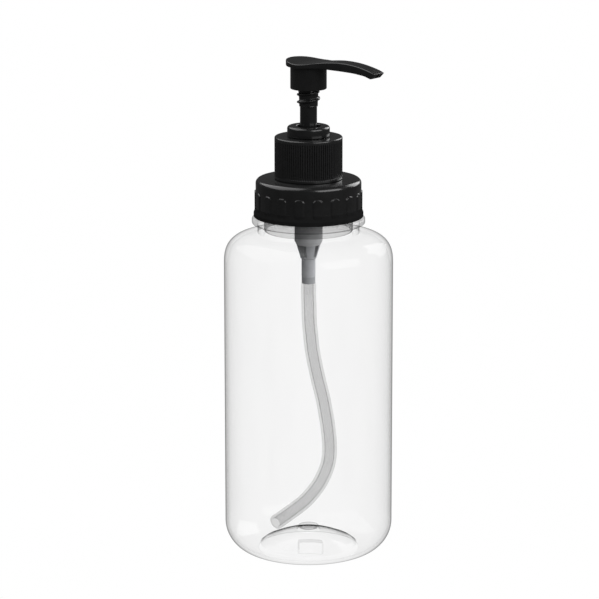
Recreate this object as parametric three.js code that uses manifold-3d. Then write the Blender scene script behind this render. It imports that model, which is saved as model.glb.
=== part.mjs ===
// Lotion-style condiment pump dispenser: a clear wide-neck bottle, a ribbed screw cap
// with a 28 mm neck on top of it, and a screw-lock reciprocating pump with a curled dip tube.
// Millimetres, +Z up. The bottle stands on z = 0 and its axis is the Z axis.
import * as THREE from 'three';
import Module from 'manifold-3d';

const TAU = Math.PI * 2;
const DEG = Math.PI / 180;

// ---------------------------------------------------------------- driving dimensions
// _R is a radius, _Z a height, _Z0 and _Z1 the bottom and top of a piece.
const BOTTLE_R = 40;
const CORNER_R = 14.5;              // lower corner fillet, outside
const INNER_CORNER_R = 12.8;
const INNER_CORNER_Z = 14.65;       // centre of the inner fillet
const WALL = 1.05;
const INNER_R = BOTTLE_R - WALL;
const PUNT_R = 24.4;                // inner edge of the flat standing ring

// The shoulder is a quarter superellipse.
const SHOULDER_Z = 139.9;
const SHOULDER_WIDTH = 17.0;
const SHOULDER_HEIGHT = 14.6;
const SHOULDER_EXPONENT = 2.84;

const NECK_R = 23.9;                // plain neck below the support ring
const RING_R = 26.6;                // neck support ring
const RING_Z0 = 159.4;
const RING_Z1 = 162.3;
const MOUTH_R = 20.95;
const RIM_Z = 177.5;
const NECK_ROOT_R = 22.3;
const NECK_CREST_R = 23.45;
const NECK_PITCH = 4.23;            // both neck threads, about 6 per inch

const SEAL_R = 20.65;
const SEAL_BORE_R = 19.5;
const SEAL_Z0 = 155.9;

const CAP_R = 24.8;
const CAP_RIB_R = 25.3;
const CAP_FLARE_R = 25.78;
const CAP_Z0 = 162.8;
const CAP_Z1 = 180.8;
const CAP_FILLET_R = 2.1;
const CAP_RIBS = 18;
const CAP_BORE_R = 9.2;
const PUMP_NECK_R = 12.85;          // neck on top of the cap
const PUMP_NECK_CREST_R = 13.7;
const PUMP_NECK_Z1 = 196.6;

const CLOSURE_R = 15.84;
const CLOSURE_GROOVE_R = CLOSURE_R - 0.42;
const CLOSURE_Z0 = 181.1;
const CLOSURE_Z1 = 200.8;
const CLOSURE_RIBS = 90;

const COLLAR_R = 9.9;
const COLLAR_FILLET_R = 1.2;
const COLLAR_Z0 = 201.1;
const COLLAR_Z1 = 205.8;
const STEM_R = 3.91;
const LOCK_PITCH = 3.5;             // thread shared by stem and collar
const HOUSING_R = 6.6;
const HOUSING_BORE_R = 5.3;

const HUB_R = 8.39;
const HUB_Z0 = 223.3;
const PLATE_R = 10.55;
const NOZZLE_AZIMUTH = -38 * DEG;   // from +X towards -Y

const TUBE_R = 3.54;
const TUBE_BORE_R = 2.32;

// ---------------------------------------------------------------- materials
const MATERIALS = {
  bottle: { color: 0xe9eef0, roughness: 0.05 },
  seal: { color: 0x9a9c9e, roughness: 0.35 },
  cap: { color: 0x17181a, roughness: 0.38 },
  closure: { color: 0x17181a, roughness: 0.42 },
  gasket: { color: 0xd8d8d2, roughness: 0.8 },
  stemAndCollar: { color: 0x17181a, roughness: 0.36 },
  housing: { color: 0x4a4d50, roughness: 0.3 },
  ballHolder: { color: 0xdfe1e2, roughness: 0.4 },
  ball: { color: 0xc9ccd0, roughness: 0.15, metalness: 0.9 },
  spring: { color: 0xb9bdc2, roughness: 0.3, metalness: 1.0 },
  piston: { color: 0xe6e6e2, roughness: 0.5 },
  head: { color: 0x17181a, roughness: 0.34 },
  dipTube: { color: 0xcfd2d4, roughness: 0.2 }
};

// ---------------------------------------------------------------- points and curves
const polar = (r, angle, z) => [r * Math.cos(angle), r * Math.sin(angle), z];

function turn([x, y, z], angle) {
  const c = Math.cos(angle);
  const s = Math.sin(angle);
  return [x * c - y * s, x * s + y * c, z];
}

// Points on a circular arc in 2D, both ends included. Angles in degrees.
function arc(centreX, centreY, radius, from, to, steps) {
  return Array.from({ length: steps + 1 }, (_, i) => {
    const angle = (from + (to - from) * i / steps) * DEG;
    return [centreX + radius * Math.cos(angle), centreY + radius * Math.sin(angle)];
  });
}

// Linear interpolation in a table of [x, value], held constant past its ends.
function interpolate(table, x) {
  if (x <= table[0][0]) return table[0][1];
  for (let i = 1; i < table.length; i++) {
    if (x > table[i][0]) continue;
    const [x0, y0] = table[i - 1];
    const [x1, y1] = table[i];
    return y0 + (y1 - y0) * (x - x0) / (x1 - x0);
  }
  return table[table.length - 1][1];
}

// ---------------------------------------------------------------- meshes
function signedVolume(pos, idx) {
  let volume = 0;
  for (let i = 0; i < idx.length; i += 3) {
    const [a, b, c] = [idx[i] * 3, idx[i + 1] * 3, idx[i + 2] * 3];
    volume += pos[a] * (pos[b + 1] * pos[c + 2] - pos[b + 2] * pos[c + 1])
      - pos[a + 1] * (pos[b] * pos[c + 2] - pos[b + 2] * pos[c])
      + pos[a + 2] * (pos[b] * pos[c + 1] - pos[b + 1] * pos[c]);
  }
  return volume / 6;
}

function bufferGeometry(pos, idx) {
  const geometry = new THREE.BufferGeometry();
  geometry.setAttribute('position', new THREE.BufferAttribute(new Float32Array(pos), 3));
  geometry.setIndex(idx);
  return geometry;
}

// Geometry whose faces point outwards, whichever way the triangles were wound.
function outwardGeometry(pos, idx) {
  if (signedVolume(pos, idx) < 0) {
    for (let i = 0; i < idx.length; i += 3) [idx[i + 1], idx[i + 2]] = [idx[i + 2], idx[i + 1]];
  }
  return bufferGeometry(pos, idx);
}

// Triangles between two rings of vertex indices. One count must divide the other.
function stitch(ringA, ringB, idx) {
  const countA = ringA.length;
  const countB = ringB.length;
  if (countA === 1) {
    for (let i = 0; i < countB; i++) idx.push(ringA[0], ringB[i], ringB[(i + 1) % countB]);
    return;
  }
  if (countB === 1) {
    for (let i = 0; i < countA; i++) idx.push(ringA[i], ringB[0], ringA[(i + 1) % countA]);
    return;
  }
  const aIsFine = countA >= countB;
  const [fine, coarse] = aIsFine ? [ringA, ringB] : [ringB, ringA];
  const ratio = fine.length / coarse.length;
  const half = Math.max(1, Math.floor(ratio / 2));
  const fineAt = i => fine[i % fine.length];
  for (let i = 0; i < coarse.length; i++) {
    const here = coarse[i];
    const next = coarse[(i + 1) % coarse.length];
    for (let t = 0; t < ratio; t++) {
      const apex = t < half ? here : next;
      const [f0, f1] = [fineAt(i * ratio + t), fineAt(i * ratio + t + 1)];
      if (aIsFine) idx.push(f0, apex, f1);
      else idx.push(apex, f0, f1);
    }
    const middle = fineAt(i * ratio + half);
    if (aIsFine) idx.push(middle, here, next);
    else idx.push(here, middle, next);
  }
}

// Skin over rings of points; a ring of one point is a pole.
function skin(rings, closed) {
  const pos = [];
  const idx = [];
  const indexRings = rings.map(ring => ring.map(point => pos.push(...point) / 3 - 1));
  const bands = closed ? rings.length : rings.length - 1;
  for (let k = 0; k < bands; k++) stitch(indexRings[k], indexRings[(k + 1) % rings.length], idx);
  return outwardGeometry(pos, idx);
}

// Revolve a profile of [r, z] that starts and ends on the axis, or is a closed loop.
// segments: a number, or a function of the radius.
// A third entry in a profile point is its radius where inGroove(i) holds.
function revolve(profile, segments, { inGroove, phase = 0, angles } = {}) {
  const rings = profile.map(([r, z, grooveR]) => {
    if (r === 0) return [[0, 0, z]];
    const count = typeof segments === 'function' ? segments(r) : segments;
    return Array.from({ length: count }, (_, i) => {
      const angle = phase + (angles ? angles[i * (angles.length / count)] : TAU * i / count);
      const radius = grooveR !== undefined && inGroove(i) ? grooveR : r;
      return polar(radius, angle, z);
    });
  });
  return skin(rings, profile[0][0] !== 0);
}

// Loft rings of equal length. Open lofts get fanned end caps.
function loft(rings, closed = false) {
  const count = rings[0].length;
  const last = rings.length - 1;
  const pos = rings.flat(2);
  const idx = [];
  for (let k = 0; k < (closed ? last + 1 : last); k++) {
    const base = k * count;
    const nextBase = ((k + 1) % rings.length) * count;
    for (let i = 0; i < count; i++) {
      const j = (i + 1) % count;
      idx.push(base + i, base + j, nextBase + j, base + i, nextBase + j, nextBase + i);
    }
  }
  if (closed) return outwardGeometry(pos, idx);
  for (const k of [0, last]) {
    const hub = pos.length / 3;
    const centre = [0, 0, 0];
    for (const point of rings[k]) {
      for (let axis = 0; axis < 3; axis++) centre[axis] += point[axis] / count;
    }
    pos.push(...centre);
    for (let i = 0; i < count; i++) {
      const here = k * count + i;
      const next = k * count + (i + 1) % count;
      if (k === 0) idx.push(hub, next, here);
      else idx.push(hub, here, next);
    }
  }
  return outwardGeometry(pos, idx);
}

function prism(outline, z0, z1) {
  return loft([z0, z1].map(z => outline.map(([x, y]) => [x, y, z])));
}

// A flat bar through the axis, turned about Z.
function crossBar({ halfLength, halfWidth, z0, z1, angle = 0 }) {
  const corners = [[-1, -1], [1, -1], [1, 1], [-1, 1]];
  const outline = corners.map(([u, v]) => turn([u * halfLength, v * halfWidth, 0], angle));
  return prism(outline, z0, z1);
}

// A helical thread ridge, tapered at both ends, from its buried radius to its crest.
function ridge({
  buriedR, crestR, z0, turns, rootWidth, crestWidth,
  pitch = NECK_PITCH, startAngle = 0, segmentsPerTurn = 24
}) {
  const steps = Math.round(turns * segmentsPerTurn);
  const taperSteps = segmentsPerTurn * 0.12;
  const rings = [];
  for (let i = 0; i <= steps; i++) {
    const turnsDone = i / segmentsPerTurn;
    const angle = startAngle + turnsDone * TAU;
    const z = z0 + turnsDone * pitch;
    const grown = Math.min(1, Math.min(i, steps - i) / taperSteps + 0.02);
    const outerR = buriedR + (crestR - buriedR) * grown;
    const halfCrest = crestWidth * (0.35 + 0.65 * grown) / 2;
    const halfRoot = rootWidth * (0.45 + 0.55 * grown) / 2;
    rings.push([
      polar(buriedR, angle, z - halfRoot), polar(outerR, angle, z - halfCrest),
      polar(outerR, angle, z + halfCrest), polar(buriedR, angle, z + halfRoot)
    ]);
  }
  return loft(rings);
}

function sphere(radius, centreZ) {
  const profile = [[0, centreZ - radius]];
  for (let i = 1; i < 8; i++) {
    const angle = Math.PI * i / 8;
    profile.push([radius * Math.sin(angle), centreZ - radius * Math.cos(angle)]);
  }
  profile.push([0, centreZ + radius]);
  return revolve(profile, 16);
}

// ---------------------------------------------------------------- booleans
const manifold = await Module();
manifold.setup();

function toManifold(geometry) {
  return new manifold.Manifold(new manifold.Mesh({
    numProp: 3,
    vertProperties: new Float32Array(geometry.attributes.position.array),
    triVerts: new Uint32Array(geometry.index.array)
  }));
}

function fromManifold(solid) {
  const mesh = solid.getMesh();
  return bufferGeometry(mesh.vertProperties, Array.from(mesh.triVerts));
}

const combine = operation => (first, ...rest) => fromManifold(
  rest.reduce((solid, next) => solid[operation](toManifold(next)), toManifold(first)));
const unite = combine('add');
const subtract = combine('subtract');
const intersect = combine('intersect');

// ---------------------------------------------------------------- bottle
// Pushed-up base with a round recess at its crown; [r, z], outer and inner faces.
const PUNT_OUTSIDE = [
  [0, 9.95], [4.3, 9.9], [4.75, 8.3], [9, 7.45], [12, 6.6],
  [17.5, 4.3], [21.5, 2.1], [23.3, 0.75], [PUNT_R, 0]
];
const PUNT_INSIDE = [
  [26.2, 1.85], [24.5, 1.95], [23.2, 2.35], [21.5, 3.7], [17.5, 5.6],
  [13.3, 7.37], [9, 8.85], [5.4, 9.75], [4.6, 10.9], [0, 11.5]
];

// Superellipse points strictly between the body wall and the neck.
function shoulderPoints() {
  const steps = 7;
  const power = 2 / SHOULDER_EXPONENT;
  const points = [];
  for (let i = 1; i < steps; i++) {
    const angle = (i / steps) * Math.PI / 2;
    points.push([
      BOTTLE_R - SHOULDER_WIDTH + SHOULDER_WIDTH * Math.pow(Math.cos(angle), power),
      SHOULDER_Z + SHOULDER_HEIGHT * Math.pow(Math.sin(angle), power)
    ]);
  }
  return points;
}

// Rounded rectangular pad that follows the underside of the base, on its -Y side.
function makeBasePad() {
  const [x0, x1, y0, y1, cornerR] = [-4.8, 6.7, -19.6, -10.9, 1.2];
  const outline = [
    [x1 - cornerR, y1 - cornerR, 0], [x0 + cornerR, y1 - cornerR, 90],
    [x0 + cornerR, y0 + cornerR, 180], [x1 - cornerR, y0 + cornerR, 270]
  ].flatMap(([x, y, from]) => arc(x, y, cornerR, from, from + 90, 3));
  const below = PUNT_OUTSIDE.map(([r, z]) => [r, z - 0.45]);
  const above = PUNT_OUTSIDE.map(([r, z]) => [r, z + 0.6]).reverse();
  return intersect(prism(outline, -2, 12), revolve([...below, ...above], 24));
}

function makeBottle() {
  const profile = [
    ...PUNT_OUTSIDE, [25.6, 0],
    ...arc(BOTTLE_R - CORNER_R, CORNER_R, CORNER_R, -78, 0, 5),
    ...shoulderPoints(),
    [NECK_R + 0.25, 154.45], [NECK_R, 155.0],
    // neck and support ring
    [NECK_R, 158.9], [NECK_R + 0.5, RING_Z0], [RING_R - 0.8, RING_Z0], [RING_R, RING_Z0 + 0.8],
    [RING_R, RING_Z1 - 0.7], [RING_R - 0.7, RING_Z1],
    [NECK_ROOT_R + 0.6, RING_Z1], [NECK_ROOT_R, RING_Z1 + 0.6],
    // rim and mouth
    [NECK_ROOT_R, RIM_Z - 0.4], [NECK_ROOT_R - 0.4, RIM_Z],
    [MOUTH_R + 0.35, RIM_Z], [MOUTH_R, RIM_Z - 0.35], [MOUTH_R, 153.9],
    // inside, downwards
    [21.3, 153.1], [26.5, 152.9], [32.4, 151.6], [36.8, 148.0], [INNER_R, 139.5],
    [INNER_R, INNER_CORNER_Z],
    ...arc(INNER_R - INNER_CORNER_R, INNER_CORNER_Z, INNER_CORNER_R, 0, -90, 4).slice(1, -1),
    ...PUNT_INSIDE
  ];
  const body = revolve(profile, r => r > 16 ? 48 : 24);
  const threaded = unite(body, ridge({
    buriedR: NECK_ROOT_R - 0.4, crestR: NECK_CREST_R, z0: 166.4, turns: 1.3,
    rootWidth: 2.3, crestWidth: 0.75, startAngle: 0.4
  }));
  return unite(threaded, makeBasePad());
}

// ---------------------------------------------------------------- cap and closure
// Plug seal inside the bottle mouth, with a flange over the rim.
function makePlugSeal() {
  return revolve([
    [SEAL_R - 0.3, SEAL_Z0], [SEAL_R, SEAL_Z0 + 0.35], [SEAL_R, 177.8], [23.15, 177.8],
    [23.15, 178.9], [SEAL_BORE_R, 178.9], [SEAL_BORE_R, SEAL_Z0]
  ], 48);
}

function makeScrewCap() {
  const profile = [
    [24.3, CAP_Z0], [25.3, CAP_Z0], [CAP_FLARE_R, CAP_Z0 + 0.5], [CAP_FLARE_R, 164.7],
    // ribbed band
    [CAP_RIB_R, 165.3, CAP_R], [CAP_RIB_R, 174.2, CAP_R], [CAP_RIB_R - 0.15, 174.7, CAP_R],
    [CAP_R, 175.1], [CAP_R, CAP_Z1 - CAP_FILLET_R],
    ...arc(CAP_R - CAP_FILLET_R, CAP_Z1 - CAP_FILLET_R, CAP_FILLET_R, 22.5, 90, 3),
    // neck for the pump
    [13.6, CAP_Z1], [PUMP_NECK_R, CAP_Z1 + 0.7], [PUMP_NECK_R, PUMP_NECK_Z1 - 0.35],
    [PUMP_NECK_R - 0.35, PUMP_NECK_Z1], [CAP_BORE_R, PUMP_NECK_Z1],
    // inside
    [CAP_BORE_R, 179.15], [23.3, 179.15], [23.75, 178.7], [23.75, 163.5]
  ];
  // Each rib takes four angles: root, crest, crest, root, as fractions of the rib spacing.
  const angles = [];
  for (let i = 0; i < CAP_RIBS; i++) {
    for (const fraction of [0.22, 0.29, 0.71, 0.78]) angles.push((i + fraction) / CAP_RIBS * TAU);
  }
  const shell = revolve(profile, r => r < 15 ? CAP_RIBS * 2 : CAP_RIBS * 4, {
    inGroove: i => i % 4 === 0 || i % 4 === 3,
    phase: -Math.PI / 2,
    angles
  });
  return unite(shell,
    ridge({
      buriedR: 23.95, crestR: 22.6, z0: 168.5, turns: 1.2,
      rootWidth: 2.2, crestWidth: 0.7, startAngle: 0.4
    }),
    ridge({
      buriedR: PUMP_NECK_R - 0.35, crestR: PUMP_NECK_CREST_R, z0: 185.4, turns: 1.5,
      rootWidth: 2.2, crestWidth: 0.75
    }));
}

// Pump closure with fine vertical ribs.
function makeClosure() {
  const profile = [
    [14.35, CLOSURE_Z0], [CLOSURE_R - 0.3, CLOSURE_Z0], [CLOSURE_R - 0.02, CLOSURE_Z0 + 0.3],
    [CLOSURE_R, 182.9], [CLOSURE_R, 183.3, CLOSURE_GROOVE_R],
    [CLOSURE_R, 198.9, CLOSURE_GROOVE_R], [CLOSURE_R, 199.45],
    [CLOSURE_R - 0.25, 200.15], [CLOSURE_R - 0.65, 200.62], [CLOSURE_R - 1.2, CLOSURE_Z1],
    [8.95, CLOSURE_Z1], [8.95, 199.3], [14.15, 199.3], [14.15, 181.4]
  ];
  const shell = revolve(profile, r => r === CLOSURE_R ? CLOSURE_RIBS * 2 : CLOSURE_RIBS / 2, {
    inGroove: i => i % 2 === 1,
    phase: -Math.PI / 2
  });
  return unite(shell, ridge({
    buriedR: 14.35, crestR: 13.05, z0: 187.5, turns: 1.5, rootWidth: 2.1, crestWidth: 0.7
  }));
}

function makeGasket() {
  return revolve([[9.5, 196.85], [13.6, 196.85], [13.6, 197.65], [9.5, 197.65]], 36);
}

// ---------------------------------------------------------------- pump body
function makeLockCollar() {
  const filletX = COLLAR_R - COLLAR_FILLET_R;
  const filletZ = COLLAR_Z1 - COLLAR_FILLET_R;
  const body = revolve([
    [7.3, 187.2], [7.3, 199.3], [8.6, 199.3], [8.6, COLLAR_Z0], [COLLAR_R, COLLAR_Z0],
    ...arc(filletX, filletZ, COLLAR_FILLET_R, 0, 90, 3),
    [5.95, COLLAR_Z1], [5.75, COLLAR_Z1 - 0.25], [5.75, 190.0], [4.06, 189.4], [4.06, 187.2]
  ], 36);
  return unite(body, ridge({
    buriedR: 5.95, crestR: 5.08, z0: 199.0, turns: 0.85, pitch: LOCK_PITCH,
    rootWidth: 1.5, crestWidth: 0.5, startAngle: Math.PI / 2, segmentsPerTurn: 18
  }));
}

function makeHousing() {
  let housing = revolve([
    // flange and bore, downwards
    [13.6, 197.95], [13.6, 199.0], [7.5, 199.0], [7.5, 187.0],
    [HOUSING_BORE_R, 186.3], [HOUSING_BORE_R, 151.6],
    [2.75, 151.6], [2.75, 146.2], [1.5, 144.9], [1.3, 124.5],
    // outside, upwards
    [2.0, 124.5], [2.2, 124.9], [2.2, 130.5], [3.05, 130.5], [3.25, 130.75], [3.25, 142.3],
    [3.85, 142.7], [3.85, 143.3], [3.62, 143.5], [3.62, 149.0], [5.7, 149.25],
    [HOUSING_R, 150.9], [HOUSING_R, 185.6], [8.7, 186.6], [8.7, 197.95]
  ], 32);
  // Four broad tapering ribs around the ball chamber; section points are [r, z].
  const ribSection = [[3.2, 143.0], [3.8, 143.0], [5.72, 149.4], [3.2, 149.4]];
  const ribHalfAngle = 25 * DEG;
  for (let i = 0; i < 4; i++) {
    const middle = (11.5 - 90 + i * 90) * DEG;
    housing = unite(housing, loft([-1, -0.5, 0, 0.5, 1].map(
      u => ribSection.map(([r, z]) => polar(r, middle + u * ribHalfAngle, z)))));
  }
  return housing;
}

// Ring crossed by two bars.
function makeBallCage() {
  let cage = revolve([
    [3.35, 152.15], [4.95, 152.15], [5.1, 152.3], [5.1, 154.1], [4.95, 154.25], [3.35, 154.25]
  ], 32);
  for (const angle of [0.4, 0.4 + Math.PI / 2]) {
    cage = unite(cage, crossBar({ halfLength: 3.8, halfWidth: 0.45, z0: 152.2, z1: 153.4, angle }));
  }
  return cage;
}

function makeSpring() {
  const [coilR, wireR, z0, z1] = [4.0, 0.45, 154.85, 175.45];
  const turns = 8;
  const steps = turns * 12;
  const wireSides = 5;
  // Closed end coils: this share of the turns, at each end, climbs this share of the height.
  const endTurns = 0.11;
  const endRise = 0.035;
  const midRise = 1 - 2 * endRise;
  function riseAt(t) {
    if (t < endTurns) return endRise * t / endTurns;
    if (t > 1 - endTurns) return 1 - endRise * (1 - t) / endTurns;
    return endRise + midRise * (t - endTurns) / (1 - 2 * endTurns);
  }
  const rings = [];
  for (let i = 0; i <= steps; i++) {
    const t = i / steps;
    const z = z0 + (z1 - z0) * riseAt(t);
    rings.push(Array.from({ length: wireSides }, (_, j) => {
      const around = TAU * j / wireSides;
      return polar(coilR + wireR * Math.cos(around), t * turns * TAU, z + wireR * Math.sin(around));
    }));
  }
  return loft(rings);
}

function makePiston() {
  return revolve([
    [2.0, 176.3], [4.5, 176.3], [5.05, 176.5], [5.17, 176.9], [5.17, 177.6], [4.85, 178.2],
    [4.85, 182.4], [5.17, 183.2], [5.17, 183.9], [5.0, 184.3],
    [4.05, 184.3], [4.05, 178.0], [2.0, 177.9]
  ], 28);
}

function makePistonRod() {
  return revolve([
    [0, 172.4], [1.6, 172.4], [2.0, 172.8], [2.9, 175.3], [2.9, 176.0], [1.45, 176.05],
    [1.45, 188.0], [1.8, 188.4], [1.8, 192.4], [1.4, 193.2], [0, 193.2]
  ], 24);
}

function makeStem() {
  const body = revolve([
    [2.15, 178.2], [3.7, 178.2], [STEM_R, 178.4], [STEM_R, 214.7], [4.35, 215.5],
    [4.45, 219.0], [4.87, 222.2], [4.87, 222.95], [STEM_R, 223.0], [STEM_R, 230.8],
    [3.75, 231.0], [2.85, 231.0], [2.6, 230.7], [2.6, 226.2], [1.5, 224.9],
    [1.95, 224.2], [1.95, 178.45]
  ], 28);
  return unite(body, ridge({
    buriedR: 4.1, crestR: 5.4, z0: 216.1, turns: 1.8, pitch: LOCK_PITCH,
    rootWidth: 1.55, crestWidth: 0.5, startAngle: Math.PI / 2, segmentsPerTurn: 20
  }));
}

// Ring crossed by one bar.
function makeBallRetainer() {
  const ring = revolve([
    [1.75, 229.6], [2.45, 229.6], [2.5, 229.7], [2.5, 230.9], [2.4, 231.0], [1.75, 231.0]
  ], 24);
  return unite(ring, crossBar({ halfLength: 2.0, halfWidth: 0.35, z0: 229.65, z1: 230.4 }));
}

// ---------------------------------------------------------------- actuator head
// Drawn with the spout along +X, then turned to NOZZLE_AZIMUTH.
const turnToNozzle = point => turn(point, NOZZLE_AZIMUTH);

// [x, z] of the saddle-shaped top
const HEAD_TOP = [
  [-10.6, 237.2], [-8, 236.9], [-6, 236.6], [-4, 236.3], [-2, 236.02], [0, 235.88],
  [2, 235.88], [4, 236.02], [6, 236.22], [8, 236.5], [10, 236.8], [12, 237.08],
  [16, 237.5], [20, 237.72], [24, 237.7], [28, 237.45], [32, 236.9], [36, 236.05],
  [38.2, 235.45], [40.0, 234.75], [41.2, 234.25]
];
// [x, z] of the beak's underside
const BEAK_BOTTOM = [
  [0, 233.9], [8, 234.0], [14, 234.0], [20, 233.85], [26, 233.55], [30, 233.2],
  [33, 232.85], [35, 232.5], [36.6, 232.1], [38.2, 231.6], [39.0, 231.35]
];
// [x, half width] of the beak
const BEAK_HALF_WIDTH = [
  [0, 6.6], [6, 6.2], [8.5, 5.6], [10, 5.2], [12, 5.0], [16, 4.8],
  [20, 4.35], [24, 4.1], [28, 3.92], [32, 3.82], [36, 3.8], [40, 3.8]
];
const BEAK_STATIONS = [3, 8.5, 10.5, 13, 17, 21, 25, 28, 31, 33.5, 35.5, 37.2, 38.8, 40.0];
// [x, z] of the outlet channel's centre line
const CHANNEL_PATH = [
  [-1.2, 234.3], [0.4, 234.45], [4, 234.75], [10, 235.3], [16, 235.75], [22, 235.8],
  [28, 235.45], [32, 234.95], [35, 234.4], [37.2, 233.8], [39.0, 233.2], [42.4, 231.75]
];

// Solid hub and thumb plate in one skin.
function makeHubAndPlate() {
  const segments = 40;
  const hub = [                       // [r, z]
    [0, HUB_Z0], [5.9, HUB_Z0], [6.0, HUB_Z0], [HUB_R - 0.35, HUB_Z0], [HUB_R, HUB_Z0 + 0.35],
    [HUB_R, 233.2], [HUB_R + 0.5, 233.75], [9.9, 233.9], [10.35, 234.1], [PLATE_R, 234.5]
  ];
  const plate = [                     // [r, height relative to HEAD_TOP]
    [PLATE_R, -0.75], [PLATE_R - 0.12, -0.35], [PLATE_R - 0.4, -0.1], [PLATE_R - 0.85, 0],
    [7.5, 0], [4.5, 0], [1.8, 0], [0, 0]
  ];
  function ringAt(r, heightAt) {
    if (r === 0) return [[0, 0, heightAt(0)]];
    return Array.from({ length: segments }, (_, i) => {
      const [x, y] = polar(r, TAU * i / segments, 0);
      return turnToNozzle([x, y, heightAt(x)]);
    });
  }
  return skin([
    ...hub.map(([r, z]) => ringAt(r, () => z)),
    ...plate.map(([r, offset]) => ringAt(r, x => interpolate(HEAD_TOP, x) + offset))
  ], false);
}

// Rounded-rectangle section of the beak. Towards the tip its top leads and its bottom trails.
function beakSection(x) {
  const lean = x < 27 ? 0 : Math.min(1, (x - 27) / 12);
  const topX = x + 1.05 * lean;
  const bottomX = x - 1.05 * lean;
  const sink = x < 9 ? 0.12 : 0;            // keeps the root just under the plate's top
  const tipInset = x > 39.8 ? 0.18 : 0;
  const bottomZ = interpolate(BEAK_BOTTOM, bottomX);
  const height = interpolate(HEAD_TOP, topX) - sink - bottomZ;
  const topHalf = interpolate(BEAK_HALF_WIDTH, x) - tipInset;
  const bottomHalf = topHalf * 0.93;
  const [topR, bottomR] = [0.62, 0.75];
  const outline = [                         // [y, height above the underside]
    ...arc(topHalf - topR, height - topR, topR, 0, 90, 3),
    [0, height + 0.05],
    ...arc(-topHalf + topR, height - topR, topR, 90, 180, 3),
    ...arc(-bottomHalf + bottomR, bottomR, bottomR, 180, 270, 2),
    ...arc(bottomHalf - bottomR, bottomR, bottomR, 270, 360, 2)
  ];
  return outline.map(([y, rise]) => turnToNozzle(
    [bottomX + (topX - bottomX) * (rise / height), y, bottomZ + rise]));
}

function makeChannel() {
  const radius = 1.05;
  const sides = 12;
  return loft(CHANNEL_PATH.map(([x, z], k) => {
    const before = CHANNEL_PATH[Math.max(0, k - 1)];
    const after = CHANNEL_PATH[Math.min(CHANNEL_PATH.length - 1, k + 1)];
    const dx = after[0] - before[0];
    const dz = after[1] - before[1];
    const length = Math.hypot(dx, dz);
    return Array.from({ length: sides }, (_, j) => {
      const angle = TAU * j / sides;
      const offset = radius * Math.sin(angle);
      return turnToNozzle(
        [x - dz / length * offset, radius * Math.cos(angle), z + dx / length * offset]);
    });
  }));
}

function makeHead() {
  const cutZ0 = HUB_Z0 - 1;
  const solid = unite(makeHubAndPlate(), loft(BEAK_STATIONS.map(beakSection)));
  // stem socket with the riser above it
  const socket = revolve([
    [0, cutZ0], [4.06, cutZ0], [4.06, 231.35], [1.9, 231.35], [1.9, 234.6], [0, 234.6]
  ], 28);
  const relief = revolve([[5.75, cutZ0], [7.15, cutZ0], [7.15, 232.1], [5.75, 232.1]], 36);
  return subtract(solid, socket, relief, makeChannel());
}

// ---------------------------------------------------------------- dip tube
// Centre line [x, y, z] from the top: it curls towards +X, then back towards -X and -Y.
const TUBE_PATH = [
  [0, 0, 130.3], [0.02, 0, 125.83], [0.24, 0, 118.06], [0.52, 0.3, 110.2],
  [1.09, 0.6, 104.27], [1.71, 1, 98.3], [3.09, 1.7, 90.28], [4.76, 2.5, 82.2],
  [6.68, 3.4, 74.07], [8.17, 4.2, 65.94], [9.38, 4.8, 57.83], [10.06, 4.8, 49.87],
  [10.07, 4.5, 45.97], [9.64, 4, 42.13], [8.63, 3, 38.43], [7, 1.5, 34.88],
  [4.89, -0.3, 31.42], [2.01, -2.6, 28.12], [-1.43, -5.2, 24.92], [-6.2, -8.2, 21.86],
  [-11.44, -11.3, 18.83], [-15.52, -13.6, 16.57]
];

function makeDipTube() {
  const steps = 34;
  const sides = 12;
  const path = TUBE_PATH.map(point => new THREE.Vector3(...point));
  const curve = new THREE.CatmullRomCurve3(path, false, 'centripetal');
  const centres = curve.getSpacedPoints(steps);
  const { normals, binormals } = curve.computeFrenetFrames(steps, false);
  const wallRings = radius => centres.map((centre, i) =>
    Array.from({ length: sides }, (_, j) => {
      const angle = TAU * j / sides;
      const outward = normals[i].clone().multiplyScalar(Math.cos(angle))
        .addScaledVector(binormals[i], Math.sin(angle));
      return centre.clone().addScaledVector(outward, radius).toArray();
    }));
  return loft([...wallRings(TUBE_R), ...wallRings(TUBE_BORE_R).reverse()], true);
}

// ---------------------------------------------------------------- assembly
const group = new THREE.Group();
group.name = 'condiment_pump_dispenser';

function put(name, geometry, { color, roughness, metalness = 0 }) {
  geometry.computeVertexNormals();
  const material = new THREE.MeshStandardMaterial({ color, roughness, metalness });
  const mesh = new THREE.Mesh(geometry, material);
  mesh.name = name;
  group.add(mesh);
}

put('bottle', makeBottle(), MATERIALS.bottle);
put('cap_plug_seal', makePlugSeal(), MATERIALS.seal);
put('screw_cap', makeScrewCap(), MATERIALS.cap);
put('pump_closure', makeClosure(), MATERIALS.closure);
put('neck_gasket', makeGasket(), MATERIALS.gasket);
put('lock_collar', makeLockCollar(), MATERIALS.stemAndCollar);
put('pump_housing', makeHousing(), MATERIALS.housing);
put('ball_cage', makeBallCage(), MATERIALS.ballHolder);
put('inlet_ball', sphere(2.35, 146.83), MATERIALS.ball);
put('return_spring', makeSpring(), MATERIALS.spring);
put('piston', makePiston(), MATERIALS.piston);
put('piston_rod', makePistonRod(), MATERIALS.piston);
put('stem', makeStem(), MATERIALS.stemAndCollar);
put('outlet_ball', sphere(2.1, 226.49), MATERIALS.ball);
put('outlet_ball_retainer', makeBallRetainer(), MATERIALS.ballHolder);
put('actuator_head', makeHead(), MATERIALS.head);
put('dip_tube', makeDipTube(), MATERIALS.dipTube);

export default group;
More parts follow.
